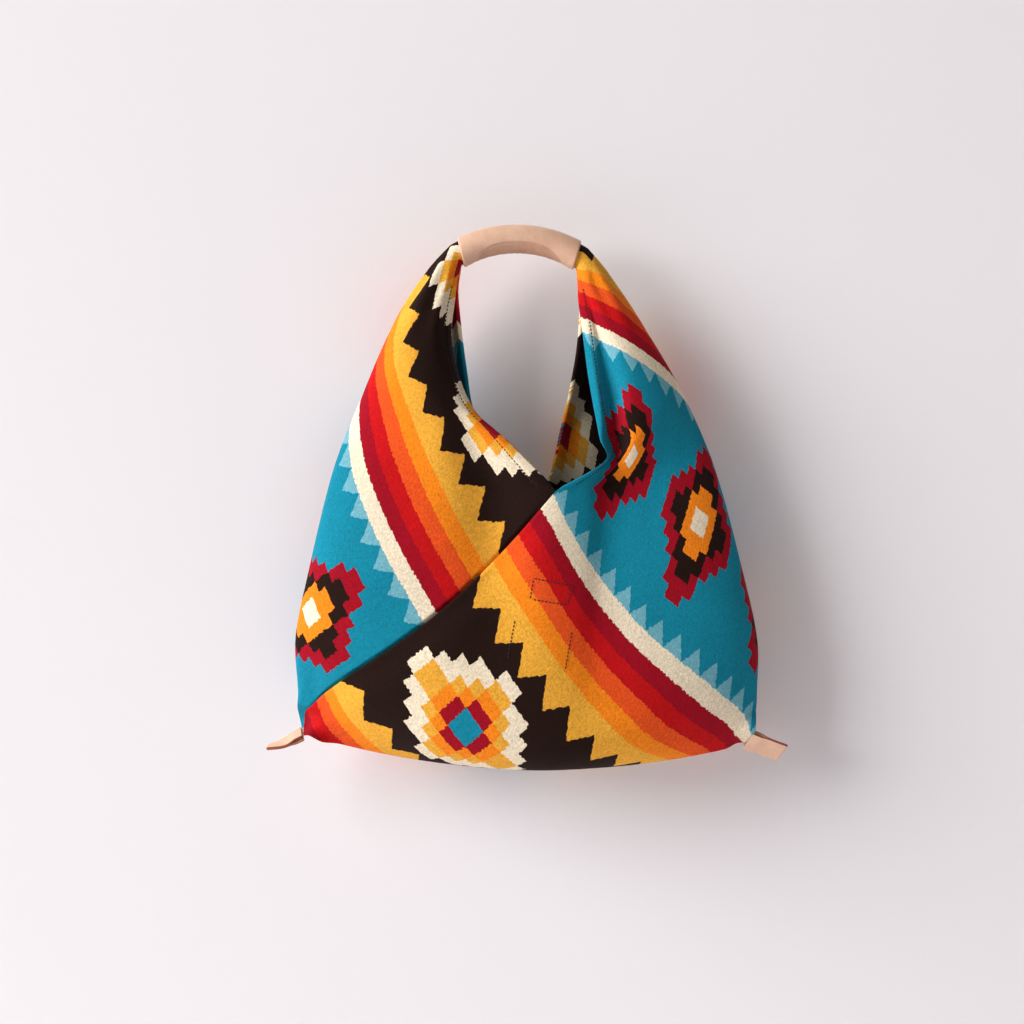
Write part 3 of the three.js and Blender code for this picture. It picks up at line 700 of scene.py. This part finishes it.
def add_half_face(patches, face, side):
    """The outer face, lining, hem edge and seam edge of one half of a face."""
    outer = 1 - (1 - np.linspace(0, 1, OUTER_COLUMNS + 1)) ** COLUMN_CROWD
    inner = np.linspace(0, 1, INNER_COLUMNS + 1)
    body = body_heights()
    ear = np.linspace(1, 2, EAR_ROWS + 1)
    lapped = side > 0

    def add(reach, height, over_seam, is_lining):
        if is_lining:
            points = lining_point(face, side, reach, height)
        else:
            points = outer_point(face, side, reach, height, over_seam)
        places = strip_place(side, reach, height, over_seam)
        patches.add_cloth(face, points, places, lapped != is_lining, int(is_lining))

    for columns, is_lining in ((outer, False), (inner, True)):
        share, height = np.meshgrid(columns, row_heights())
        add(share * np.minimum(height, 1), height, lapped, is_lining)
        reach, low = np.meshgrid(body, columns)
        add(reach, reach * low, True, is_lining)
    # the rounded edge of the hem
    share, height = np.meshgrid(np.linspace(0, 1, RIM_COLUMNS + 1), ear)
    reach = np.ones_like(height)
    edge = outer_point(face, side, reach, height, lapped)
    beyond = unit(edge - outer_point(face, side, reach - RIM_STEP, height, lapped))
    ends = smoothstep(height, *HEM_IN) * (1 - smoothstep(height, *RIM_OUT))
    swell = HEM_ROUND * np.sin(np.pi * share) * ends
    lining = lining_point(face, side, reach, height)
    points = edge + (lining - edge) * share[..., None] + beyond * swell[..., None]
    patches.add_cloth(face, points, strip_place(side, reach, height, lapped), lapped, 0)
    if side < 0:
        # the folded edge of the outer panel, standing on the inner one
        share, reach = np.meshgrid(np.linspace(0, 1, RIM_COLUMNS + 1), body)
        under = outer_point(face, side, reach, reach, False)
        over = outer_point(face, side, reach, reach, True)
        beyond = unit(sheet_point(face, side, reach * (1 - SEAM_STEP), reach, 0 * reach) - under)
        swell = SEAM_SWELL * np.sin(np.pi * share)
        points = under + (over - under) * share[..., None] + beyond * swell[..., None]
        patches.add_cloth(face, points, strip_place(side, reach, reach, True), False, 0)


def tab_outline(tab):
    """The profile of the folded strip: open round the cloth at its near end, closed at its far end."""
    lift = -1 if tab_axes(tab)[1][2] < 0 else 1
    slot = TONGUE_THICKNESS / 2 + FIT_GAP
    radius = (TAB_LENGTH - TAB_SLOT_DEPTH) / math.radians(tab["bend"])

    def place(at, off):
        angle = max(0, at - TAB_SLOT_DEPTH) / radius
        x = min(at, TAB_SLOT_DEPTH) + radius * math.sin(angle)
        y = lift * radius * (1 - math.cos(angle))
        return [x - lift * math.sin(angle) * off, y + math.cos(angle) * off]

    def gap(at):
        return slot * max(0, 1 - max(0, at - TONGUE_REACH) / (TAB_SLOT_DEPTH - TONGUE_REACH))

    last = TAB_LENGTH - TAB_LEATHER
    runs = [last * n / TAB_STEPS for n in range(TAB_STEPS + 1)]
    outline = [place(at, -TAB_LEATHER - gap(at)) for at in runs]
    for n in range(1, TAB_END_STEPS):
        turn = -math.pi / 2 + math.pi * n / TAB_END_STEPS
        outline.append(place(last + TAB_LEATHER * math.cos(turn), TAB_LEATHER * math.sin(turn)))
    outline += [place(at, TAB_LEATHER + gap(at)) for at in reversed(runs)]
    inner = TONGUE_REACH + FIT_GAP
    outline += [place(0, gap(0)), place(inner, gap(inner)), place(TAB_SLOT_DEPTH, 0)]
    outline += [place(inner, -gap(inner)), place(0, -gap(0))]
    return outline


def tab_piece(name, tab, materials):
    """The leather strip, with its cut edges rounded over and burnished."""
    length, face, width = tab_axes(tab)
    start = tab_start(tab)
    outline = tab_outline(tab)
    shape = bmesh.new()
    rings = []
    for n in range(TAB_LAYERS):
        ring = []
        for x, y in outline:
            wring = math.radians(tab["wring"]) * smoothstep(x, TAB_SLOT_DEPTH, TAB_LENGTH)
            z = TAB_WIDTH * (n / (TAB_LAYERS - 1) - 0.5)
            out = y * math.cos(wring) - z * math.sin(wring)
            across = y * math.sin(wring) + z * math.cos(wring)
            ring.append(shape.verts.new((start + length * x + face * out + width * across) * MM))
        rings.append(ring)
    count = len(outline)
    for lower, upper in zip(rings, rings[1:]):
        for k in range(count):
            shape.faces.new([lower[k], lower[(k + 1) % count], upper[(k + 1) % count], upper[k]])
    for ring in (rings[0], rings[-1]):
        cap = shape.faces.new(ring)
        cap.material_index = 1
    bmesh.ops.recalc_face_normals(shape, faces=shape.faces)
    sharp = [e for e in shape.edges if e.calc_face_angle(0) > math.radians(TAB_SHARP_ANGLE)]
    bmesh.ops.bevel(
        shape,
        geom=sharp,
        offset=TAB_EDGE_ROUND * MM,
        segments=BEVEL_STEPS,
        profile=0.5,
        affect="EDGES",
        material=-1,
    )
    bmesh.ops.triangulate(shape, faces=[f for f in shape.faces if len(f.verts) > 4])
    mesh = bpy.data.meshes.new(name)
    shape.to_mesh(mesh)
    shape.free()
    return placed(name, mesh, materials)


def crease_at(run):
    """Where the long crease of the handle lies at a share of its length, and how deep it is."""
    low = np.maximum(0, 1 - (run / CREASE_SPAN) ** CREASE_BEND)
    return np.pi - CREASE_END - (CREASE_MIDDLE - CREASE_END) * low, CREASE_DEPTH * np.sqrt(low)


def handle_piece(name, materials):
    """One leather wrap, with a long crease low on each side and softly rounded ends."""
    runs = np.linspace(-1, 1, HANDLE_STEPS + 1)
    turns = np.linspace(0, 2 * np.pi, HANDLE_TURNS + 1)
    run, turn = np.meshgrid(runs, turns, indexing="ij")
    crease, depth = crease_at(run)
    side_turn = np.minimum(turn, 2 * np.pi - turn)
    off = (side_turn - crease) * HANDLE_RADIUS
    fold = depth * np.exp(-((off / CREASE_WIDTH) ** 2)) + TUCK_SHARE * depth * smoothstep(off, 0, TUCK_WIDTH)
    wave = np.sin(RIPPLES * run + RIPPLE_DRIFT[0] * np.sin(RIPPLE_DRIFT[1] * run))
    ripple = RIPPLE_DEPTH * wave * smoothstep(side_turn, *RIPPLE_FROM)
    rim = END_ROUND * smoothstep(np.abs(run), END_ROUND_FROM, 1)
    outside = HANDLE_RADIUS - fold - ripple - rim
    bore = HANDLE_RADIUS - HANDLE_LEATHER

    def ring(run_at, turn_at, radius):
        slant = HANDLE_END_SLANT / HANDLE_ARC_RADIUS * np.cos(turn_at)
        at, out = handle_point(run_at * (HANDLE_HALF_ANGLE - slant))
        point = at + out * (radius * np.cos(turn_at))[..., None]
        point[..., 1] = -radius * np.sin(turn_at)
        return lean_top(point)

    patches = Patches()
    flat = np.stack([run, turn], -1)
    patches.add(ring(run, turn, outside), flat, False, 0)
    patches.add(ring(run, turn, np.full_like(run, bore)), flat, True, 1)
    for row, flip in ((0, True), (-1, False)):
        share = np.linspace(0, 1, HANDLE_END_ROWS)[:, None]
        radius = outside[row][None] + (bore - outside[row][None]) * share
        end = ring(np.full_like(radius, run[row, 0]), np.broadcast_to(turn[row], radius.shape), radius)
        patches.add(end, np.zeros((*radius.shape, 2)), flip, 1)
    piece = patches.made(name, materials)
    # how far each point lies under the crease, for the shade painted darker on the leather there
    lean = Matrix.Rotation(math.radians(HANDLE_LEAN), 3, "Y").inverted()
    points = np.array([lean @ v.co for v in piece.data.vertices]) / MM
    angle = np.arctan2(points[:, 0], points[:, 2] - ARC_CENTRE_Z)
    at, out = handle_point(angle)
    spread = np.arctan2(np.abs(points[:, 1]), np.sum((points - at) * out, -1))
    crease, depth = crease_at(angle / HANDLE_HALF_ANGLE)
    under = smoothstep((spread - crease) * HANDLE_RADIUS, *CREASE_SHADE)
    under *= np.clip(depth / CREASE_DEPTH * CREASE_SHADE_GAIN, 0, 1)
    layer = piece.data.attributes.new("painted_crease_shade", "FLOAT", "POINT")
    layer.data.foreach_set("value", under.astype(np.float32))
    return piece


def stitch_rows(rows, length):
    """Places of the single stitches along smooth rows of points with outward ways."""
    stitches = []
    for points, outward in rows:
        steps = np.linalg.norm(np.diff(points, axis=0), axis=1)
        run = np.concatenate([[0], np.cumsum(steps)])
        count = int(run[-1] / length)
        for n in range(count):
            at = (n + np.linspace(*STITCH_SPAN, STITCH_POINTS)) * length
            spots = np.stack([np.interp(at, run, points[:, k]) for k in range(3)], -1)
            ways = np.stack([np.interp(at, run, outward[:, k]) for k in range(3)], -1)
            stitches.append((spots, unit(ways)))
    return stitches


def stitch_piece(name, rows, material):
    """Short bowed lengths of thread that dip into the cloth at both ends."""
    patches = Patches()
    for spots, ways in stitch_rows(rows, STITCH_LENGTH):
        share = np.linspace(0, 1, len(spots))
        bow = np.sin(np.pi * share)
        centre = spots + ways * (THREAD_RADIUS * (STITCH_BOW * bow - STITCH_SINK))[:, None]
        tangent = unit(np.gradient(spots, axis=0))
        beside = unit(np.cross(tangent, ways))
        turns = np.linspace(0, 2 * np.pi, THREAD_SIDES)
        radius = THREAD_RADIUS * (THREAD_TIP + (1 - THREAD_TIP) * np.sqrt(np.maximum(bow, 0)))
        radius[[0, -1]] = 0
        ring = centre[:, None] + radius[:, None, None] * (
            np.cos(turns)[None, :, None] * beside[:, None] + np.sin(turns)[None, :, None] * ways[:, None]
        )
        patches.add(ring, np.zeros((*ring.shape[:2], 2)), False, 0)
    return patches.made(name, [material])


def surface_row(face, side, reach, height, lapped):
    """A row of points on the outer face, and the way out of the face at each."""

    def spot(reach_step, height_step):
        return in_bag(face, outer_point(face, side, reach + reach_step, height + height_step, lapped))

    wide = spot(-REACH_STEP, 0) - spot(0, 0)
    tall = spot(0, HEIGHT_STEP) - spot(0, -HEIGHT_STEP)
    return spot(0, 0), unit(np.cross(wide, tall) * side)


def hem_rows():
    height = np.linspace(*HEM_STITCHES, HEM_ROW_POINTS)
    reach = 1 - (HEM_WIDTH - STITCH_INSET) / ((2 - height) * STRIP_WIDTH / 2)
    return [surface_row(face, side, reach, height, side > 0) for face in (FRONT, BACK) for side in (-1, 1)]


# The stitched box and the two bar rows on the front, as reach off the middle line and height
STITCH_BOX = [(-0.048, 0.736), (0.13, 0.71), (0.108, 0.654), (-0.053, 0.674), (-0.048, 0.736)]
STITCH_BARS = [[(-0.103, 0.606), (-0.115, 0.476)], [(0.135, 0.57), (0.113, 0.45)]]


def front_rows():
    rows = []
    for start, end in list(zip(STITCH_BOX, STITCH_BOX[1:])) + STITCH_BARS:
        off = np.linspace(start[0], end[0], FRONT_ROW_POINTS)
        height = np.linspace(start[1], end[1], FRONT_ROW_POINTS)
        points = np.empty((FRONT_ROW_POINTS, 3))
        outward = np.empty((FRONT_ROW_POINTS, 3))
        for side in (-1, 1):
            here = off >= 0 if side > 0 else off < 0
            reach = 1 - np.abs(off[here])
            points[here], outward[here] = surface_row(FRONT, side, reach, height[here], True)
        rows.append((points, outward))
    return rows


def srgb(red, green, blue):
    """A colour as it looks on a screen, as the renderer's linear values."""
    shares = [value / 255 for value in (red, green, blue)]
    linear = [s / 12.92 if s <= 0.04045 else ((s + 0.055) / 1.055) ** 2.4 for s in shares]
    return (*linear, 1)


BROWN = srgb(30, 12, 8)
GOLD = srgb(240, 172, 58)
ORANGE = srgb(250, 136, 24)
FLAME = srgb(236, 84, 28)
RED = srgb(198, 10, 18)
CRIMSON = srgb(160, 2, 30)
CREAM = srgb(244, 228, 200)
TEAL = srgb(6, 134, 160)
PALE_BLUE = srgb(114, 178, 194)
FIBRE = srgb(214, 190, 168)
FIBRE_SHARE = 0.015
FINE_FUZZ = 0.6
DARK_THREAD = srgb(12, 10, 10)
LIGHT_THREAD = srgb(32, 26, 25)
PALE_LEATHER = srgb(234, 196, 168)
PINK_LEATHER = srgb(216, 171, 143)
# brown of the leather's specks, also used as painted shade under the handle's crease
SPECK_AND_SHADE_BROWN = srgb(168, 112, 84)
CUT_LIGHT = srgb(178, 94, 68)
CUT_MIDDLE = srgb(150, 74, 52)
CUT_DARK = srgb(112, 54, 38)
SPECK_SHARE = 0.22
# painted shade: how far the leather under the handle's crease is darkened towards the speck brown
PAINTED_CREASE_SHADE_SHARE = 0.4
CLOUD_GRAIN = 0.8
LEATHER_ROUGHNESS = [0.46, 0.64]
# painted shade: the faces inside the bag are the same wool, darkened by this share
INSIDE_PAINTED_SHADE = 0.5
CLOUD_TONES = [0.93, 1.05]
CLUMP_TONES = [0.86, 1.12]
NAP_TONES = [0.7, 1.22]


class Shader:
    """A material and short ways to add nodes to it."""

    def __init__(self, name):
        self.material = bpy.data.materials.new(name)
        self.material.use_nodes = True
        self.tree = self.material.node_tree
        self.surface = self.tree.nodes["Principled BSDF"]

    def put(self, socket, value):
        if isinstance(value, bpy.types.NodeSocket):
            self.tree.links.new(value, socket)
        else:
            socket.default_value = value

    def math(self, operation, *values):
        node = self.tree.nodes.new("ShaderNodeMath")
        node.operation = operation
        for socket, value in zip(node.inputs, values):
            self.put(socket, value)
        return node.outputs[0]

    def mix(self, share, first, second, blend="MIX"):
        node = self.tree.nodes.new("ShaderNodeMix")
        node.data_type = "RGBA"
        node.blend_type = blend
        self.put(node.inputs[0], share)
        self.put(node.inputs[6], first)
        self.put(node.inputs[7], second)
        return node.outputs[2]

    def noise(self, vector, scale, detail=2, roughness=0.5):
        node = self.tree.nodes.new("ShaderNodeTexNoise")
        self.put(node.inputs["Vector"], vector)
        node.inputs["Scale"].default_value = scale
        node.inputs["Detail"].default_value = detail
        node.inputs["Roughness"].default_value = roughness
        return node.outputs[0]

    def spread(self, value, low, high):
        """A value of about 0.25 to 0.75 spread over low to high."""
        node = self.tree.nodes.new("ShaderNodeMapRange")
        self.put(node.inputs[0], value)
        for socket, number in zip(node.inputs[1:5], (0.25, 0.75, low, high)):
            socket.default_value = number
        return node.outputs[0]

    def random(self, value):
        node = self.tree.nodes.new("ShaderNodeTexWhiteNoise")
        node.noise_dimensions = "1D"
        self.put(node.inputs["W"], value)
        return node.outputs[0]

    def attribute(self, name):
        node = self.tree.nodes.new("ShaderNodeAttribute")
        node.attribute_name = name
        return node.outputs["Fac"]

    def solid_place(self):
        return self.tree.nodes.new("ShaderNodeTexCoord").outputs["Object"]

    def strip_place(self):
        node = self.tree.nodes.new("ShaderNodeUVMap")
        node.uv_map = "strip"
        parts = self.tree.nodes.new("ShaderNodeSeparateXYZ")
        self.put(parts.inputs[0], node.outputs[0])
        return node.outputs[0], parts.outputs[0], parts.outputs[1]

    def bump(self, height, distance, strength):
        node = self.tree.nodes.new("ShaderNodeBump")
        node.inputs["Strength"].default_value = strength
        node.inputs["Distance"].default_value = distance
        self.put(node.inputs["Height"], height)
        self.put(self.surface.inputs["Normal"], node.outputs[0])

    def set(self, **values):
        for name, value in values.items():
            self.put(self.surface.inputs[name.replace("_", " ")], value)


# The woven design, in metres: half of one repeat along the strip, from a brown band to a teal one
THREAD = 0.0017
RAGGED = 0.0012
PICK_START = 77.5
HALF_REPEAT = 0.230
REPEAT_START = 0.010
TOOTH_BASE = 0.072
TOOTH_HEIGHT = 0.018
TOOTH_PITCH = 0.030
BANDS = [(0.084, ORANGE), (0.097, FLAME), (0.110, RED), (0.122, CRIMSON), (0.134, CREAM)]
TEAL_FROM = 0.147
PALE_TOOTH_HEIGHT = 0.014
PALE_TOOTH_PITCH = 0.020
BROWN_DIAMOND = {"pitch": 0.150, "first": 0.075, "tall": 0.058, "wide": 0.064, "step": 0.010}
BROWN_RINGS = [(1, CREAM), (0.8, GOLD), (0.6, ORANGE), (0.42, CRIMSON), (0.22, TEAL)]
TEAL_DIAMOND = {"pitch": 0.100, "first": 0.050, "tall": 0.060, "wide": 0.046, "step": 0.008}
TEAL_RINGS = [(1, CRIMSON), (0.74, BROWN), (0.5, ORANGE), (0.26, CREAM)]


def woven_colour(shader, run, across):
    """The colour of the design at a place on the strip: graded bands, teeth and stepped diamonds."""
    math_node = shader.math
    row_shift = shader.random(math_node("FLOOR", math_node("DIVIDE", across, THREAD)))
    pick = math_node("FLOOR", math_node("DIVIDE", run, THREAD))
    pick_shift = shader.random(math_node("ADD", pick, PICK_START))
    run = math_node("ADD", run, math_node("MULTIPLY", math_node("SUBTRACT", row_shift, 0.5), RAGGED))
    across = math_node("ADD", across, math_node("MULTIPLY", math_node("SUBTRACT", pick_shift, 0.5), RAGGED))
    place = math_node("PINGPONG", math_node("ADD", run, REPEAT_START), HALF_REPEAT)

    def tooth(pitch, height):
        wave = math_node("PINGPONG", across, pitch / 2)
        return math_node("MULTIPLY", wave, 2 * height / pitch)

    def stepped(value, step):
        count = math_node("FLOOR", math_node("DIVIDE", value, step))
        return math_node("MULTIPLY", math_node("ADD", count, 0.5), step)

    def diamond(distance, look):
        offset = math_node("ADD", across, look["pitch"] - look["first"])
        beside = math_node("PINGPONG", offset, look["pitch"] / 2)
        tall = math_node("DIVIDE", stepped(distance, look["step"]), look["tall"])
        wide = math_node("DIVIDE", stepped(beside, look["step"]), look["wide"])
        return math_node("ADD", tall, wide)

    toothed = math_node("ADD", place, tooth(TOOTH_PITCH, TOOTH_HEIGHT))
    colour = shader.mix(math_node("GREATER_THAN", toothed, TOOTH_BASE), BROWN, GOLD)
    for start, band in BANDS:
        colour = shader.mix(math_node("GREATER_THAN", place, start), colour, band)
    colour = shader.mix(math_node("GREATER_THAN", place, TEAL_FROM), colour, PALE_BLUE)
    pale = math_node("SUBTRACT", place, tooth(PALE_TOOTH_PITCH, PALE_TOOTH_HEIGHT))
    colour = shader.mix(math_node("GREATER_THAN", pale, TEAL_FROM), colour, TEAL)
    from_brown = diamond(place, BROWN_DIAMOND)
    for size, ring in BROWN_RINGS:
        colour = shader.mix(math_node("LESS_THAN", from_brown, size), colour, ring)
    from_teal = diamond(math_node("SUBTRACT", HALF_REPEAT, place), TEAL_DIAMOND)
    for size, ring in TEAL_RINGS:
        colour = shader.mix(math_node("LESS_THAN", from_teal, size), colour, ring)
    return colour


def wool_material(name, shade):
    """Napped wool: the woven design, mottled by its nap. A shade below 1 darkens it all as painted shade."""
    shader = Shader(name)
    place, run, across = shader.strip_place()
    colour = woven_colour(shader, run, across)
    nap = shader.noise(place, scale=620, detail=3, roughness=0.65)
    cloud = shader.noise(place, scale=45)
    clump = shader.noise(place, scale=300, roughness=0.6)
    patchy = shader.math("MULTIPLY", shader.spread(cloud, *CLOUD_TONES), shader.spread(clump, *CLUMP_TONES))
    nap_tones = [shade * part for part in NAP_TONES]
    tone = shader.math("MULTIPLY", shader.spread(nap, *nap_tones), patchy)
    colour = shader.mix(1, colour, tone, "MULTIPLY")
    fibre = shader.spread(shader.noise(place, scale=1500, roughness=0.7), 0, FIBRE_SHARE)
    colour = shader.mix(fibre, colour, FIBRE)
    shader.set(Base_Color=colour, Roughness=0.92)
    shader.surface.inputs["Specular IOR Level"].default_value = 0.05
    shader.surface.inputs["Sheen Weight"].default_value = 0.03
    shader.surface.inputs["Sheen Roughness"].default_value = 0.55
    fine = shader.math("MULTIPLY", shader.noise(place, scale=1900, roughness=0.6), FINE_FUZZ)
    shader.bump(shader.math("ADD", nap, fine), distance=0.0009, strength=0.7)
    return shader.material


def leather_material(name, light, dark, burnished, under):
    """Undyed smooth leather with fine grain, clouded colour and darker specks. Where asked, shade is painted
    darker under the handle's crease.
    """
    shader = Shader(name)
    place = shader.solid_place()
    cloud = shader.noise(place, scale=60, detail=3, roughness=0.55)
    colour = shader.mix(shader.spread(cloud, 0, 1), light, dark)
    speck = shader.spread(shader.noise(place, scale=900, roughness=0.6), 0, SPECK_SHARE)
    colour = shader.mix(speck, colour, burnished)
    # painted shade under the handle's crease, in the speck brown
    if under:
        share = shader.math("MULTIPLY", shader.attribute("painted_crease_shade"), PAINTED_CREASE_SHADE_SHARE)
        colour = shader.mix(share, colour, burnished)
    polish = shader.spread(shader.noise(place, scale=120), *LEATHER_ROUGHNESS)
    shader.set(Base_Color=colour, Roughness=polish)
    shader.surface.inputs["Specular IOR Level"].default_value = 0.35
    grain = shader.noise(place, scale=1400, roughness=0.6)
    grain = shader.math("ADD", grain, shader.math("MULTIPLY", cloud, CLOUD_GRAIN))
    shader.bump(grain, distance=0.0005, strength=0.35)
    return shader.material


def thread_material(name):
    """Dark sewing thread, a little lighter in fine spots."""
    shader = Shader(name)
    place = shader.solid_place()
    ply = shader.noise(place, scale=2600, detail=1)
    colour = shader.mix(shader.spread(ply, 0, 1), DARK_THREAD, LIGHT_THREAD)
    shader.set(Base_Color=colour, Roughness=0.8)
    shader.bump(ply, distance=0.0002, strength=0.6)
    return shader.material


def on_root(piece):
    """A piece that stays with the bag."""
    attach(piece, "root")
    return piece


face_wool = wool_material("wool_face", 1)
# the faces inside the bag: the same wool with painted shade
shaded_inside_wool = wool_material("wool_inside_painted_shade", INSIDE_PAINTED_SHADE)
leather = leather_material("natural_leather", PALE_LEATHER, PINK_LEATHER, SPECK_AND_SHADE_BROWN, True)
cut_leather = leather_material("burnished_edge", CUT_LIGHT, CUT_MIDDLE, CUT_DARK, False)
thread = thread_material("dark_thread")

patches = cloth_patches()
cloth = on_root(patches.made("wool_bag", [face_wool, shaded_inside_wool]))
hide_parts("cloth_body")

handle = on_root(handle_piece("handle_leather", [leather, cut_leather]))
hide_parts("handle_wrap")
left_tab = on_root(tab_piece("tab_leather_left", LEFT_TAB, [leather, cut_leather]))
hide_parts("corner_tab_left")
right_tab = on_root(tab_piece("tab_leather_right", RIGHT_TAB, [leather, cut_leather]))
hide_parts("corner_tab_right")

hem_stitches = stitch_piece("hem_stitches", hem_rows(), thread)
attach(hem_stitches, "root")
front_stitches = stitch_piece("front_stitches", front_rows(), thread)
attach(front_stitches, "root")


def plain(name, points, colour):
    """A plain pale surface of the room. It is clear from behind and casts no shadow."""
    shader = Shader(name)
    shader.surface.inputs["Base Color"].default_value = colour
    shader.surface.inputs["Roughness"].default_value = 0.9
    tree = shader.tree
    clear = tree.nodes.new("ShaderNodeBsdfTransparent")
    choice = tree.nodes.new("ShaderNodeMixShader")
    rear = tree.nodes.new("ShaderNodeNewGeometry").outputs["Backfacing"]
    shaded = tree.nodes.new("ShaderNodeLightPath").outputs["Is Shadow Ray"]
    tree.links.new(shader.math("MAXIMUM", rear, shaded), choice.inputs[0])
    tree.links.new(shader.surface.outputs[0], choice.inputs[1])
    tree.links.new(clear.outputs[0], choice.inputs[2])
    tree.links.new(choice.outputs[0], tree.nodes["Material Output"].inputs["Surface"])
    mesh = bpy.data.meshes.new(name)
    mesh.from_pydata(points, [], [range(4)])
    placed(name, mesh, [shader.material])


WALL_Y = 0.054
WALL_RISE = 3
FLOOR_Z = -1
ROOM = 4
PALE = srgb(238, 235, 238)
CORNERS = [(-1, -1), (1, -1), (1, 1), (-1, 1)]
plain("wall", [(ROOM * x, WALL_Y, WALL_RISE * z) for x, z in CORNERS], PALE)
plain("floor", [(ROOM * x, ROOM * y, FLOOR_Z) for x, y in CORNERS], PALE)


MIDDLE = Vector((0, 0, -0.22))


def lamp(name, place, size, power):
    """A soft lamp that shines on the middle of the bag."""
    light = bpy.data.lights.new(name, "AREA")
    light.size = size
    light.energy = power
    holder = bpy.data.objects.new(name, light)
    holder.location = place
    holder.rotation_euler = (MIDDLE - Vector(place)).to_track_quat("-Z", "Y").to_euler()
    bpy.context.scene.collection.objects.link(holder)


lamp("window", place=(-7.7, -3.35, 3.4), size=6, power=1290)
lamp("fill", place=(0.9, -2.6, 0.4), size=2.4, power=5)
lamp("rear", place=(0.6, 2.4, 0.8), size=2, power=26)

WARM = (1, 0.87, 0.73, 1)
ROOM_LIGHT = 0.12
world = bpy.data.worlds.new("room")
bpy.context.scene.world = world
world.use_nodes = True
background = world.node_tree.nodes["Background"]
background.inputs["Color"].default_value = WARM
background.inputs["Strength"].default_value = ROOM_LIGHT

# The camera looks straight at the front of the bag and leans a little
CAMERA_LEAN = math.radians(1.1)
CAMERA_PLACE = (-0.0102, -2, -0.2199)
CAMERA_LENS = 82.4
SENSOR_WIDTH = 36
camera = bpy.data.cameras.new("camera")
camera.lens = CAMERA_LENS
camera.sensor_width = SENSOR_WIDTH
eye = bpy.data.objects.new("camera", camera)
eye.location = CAMERA_PLACE
level = Euler((math.pi / 2, 0, 0)).to_matrix()
eye.rotation_euler = (level @ Matrix.Rotation(CAMERA_LEAN, 3, "Z").inverted()).to_euler()
bpy.context.scene.collection.objects.link(eye)
bpy.context.scene.camera = eye
bpy.context.scene.view_settings.view_transform = "Standard"
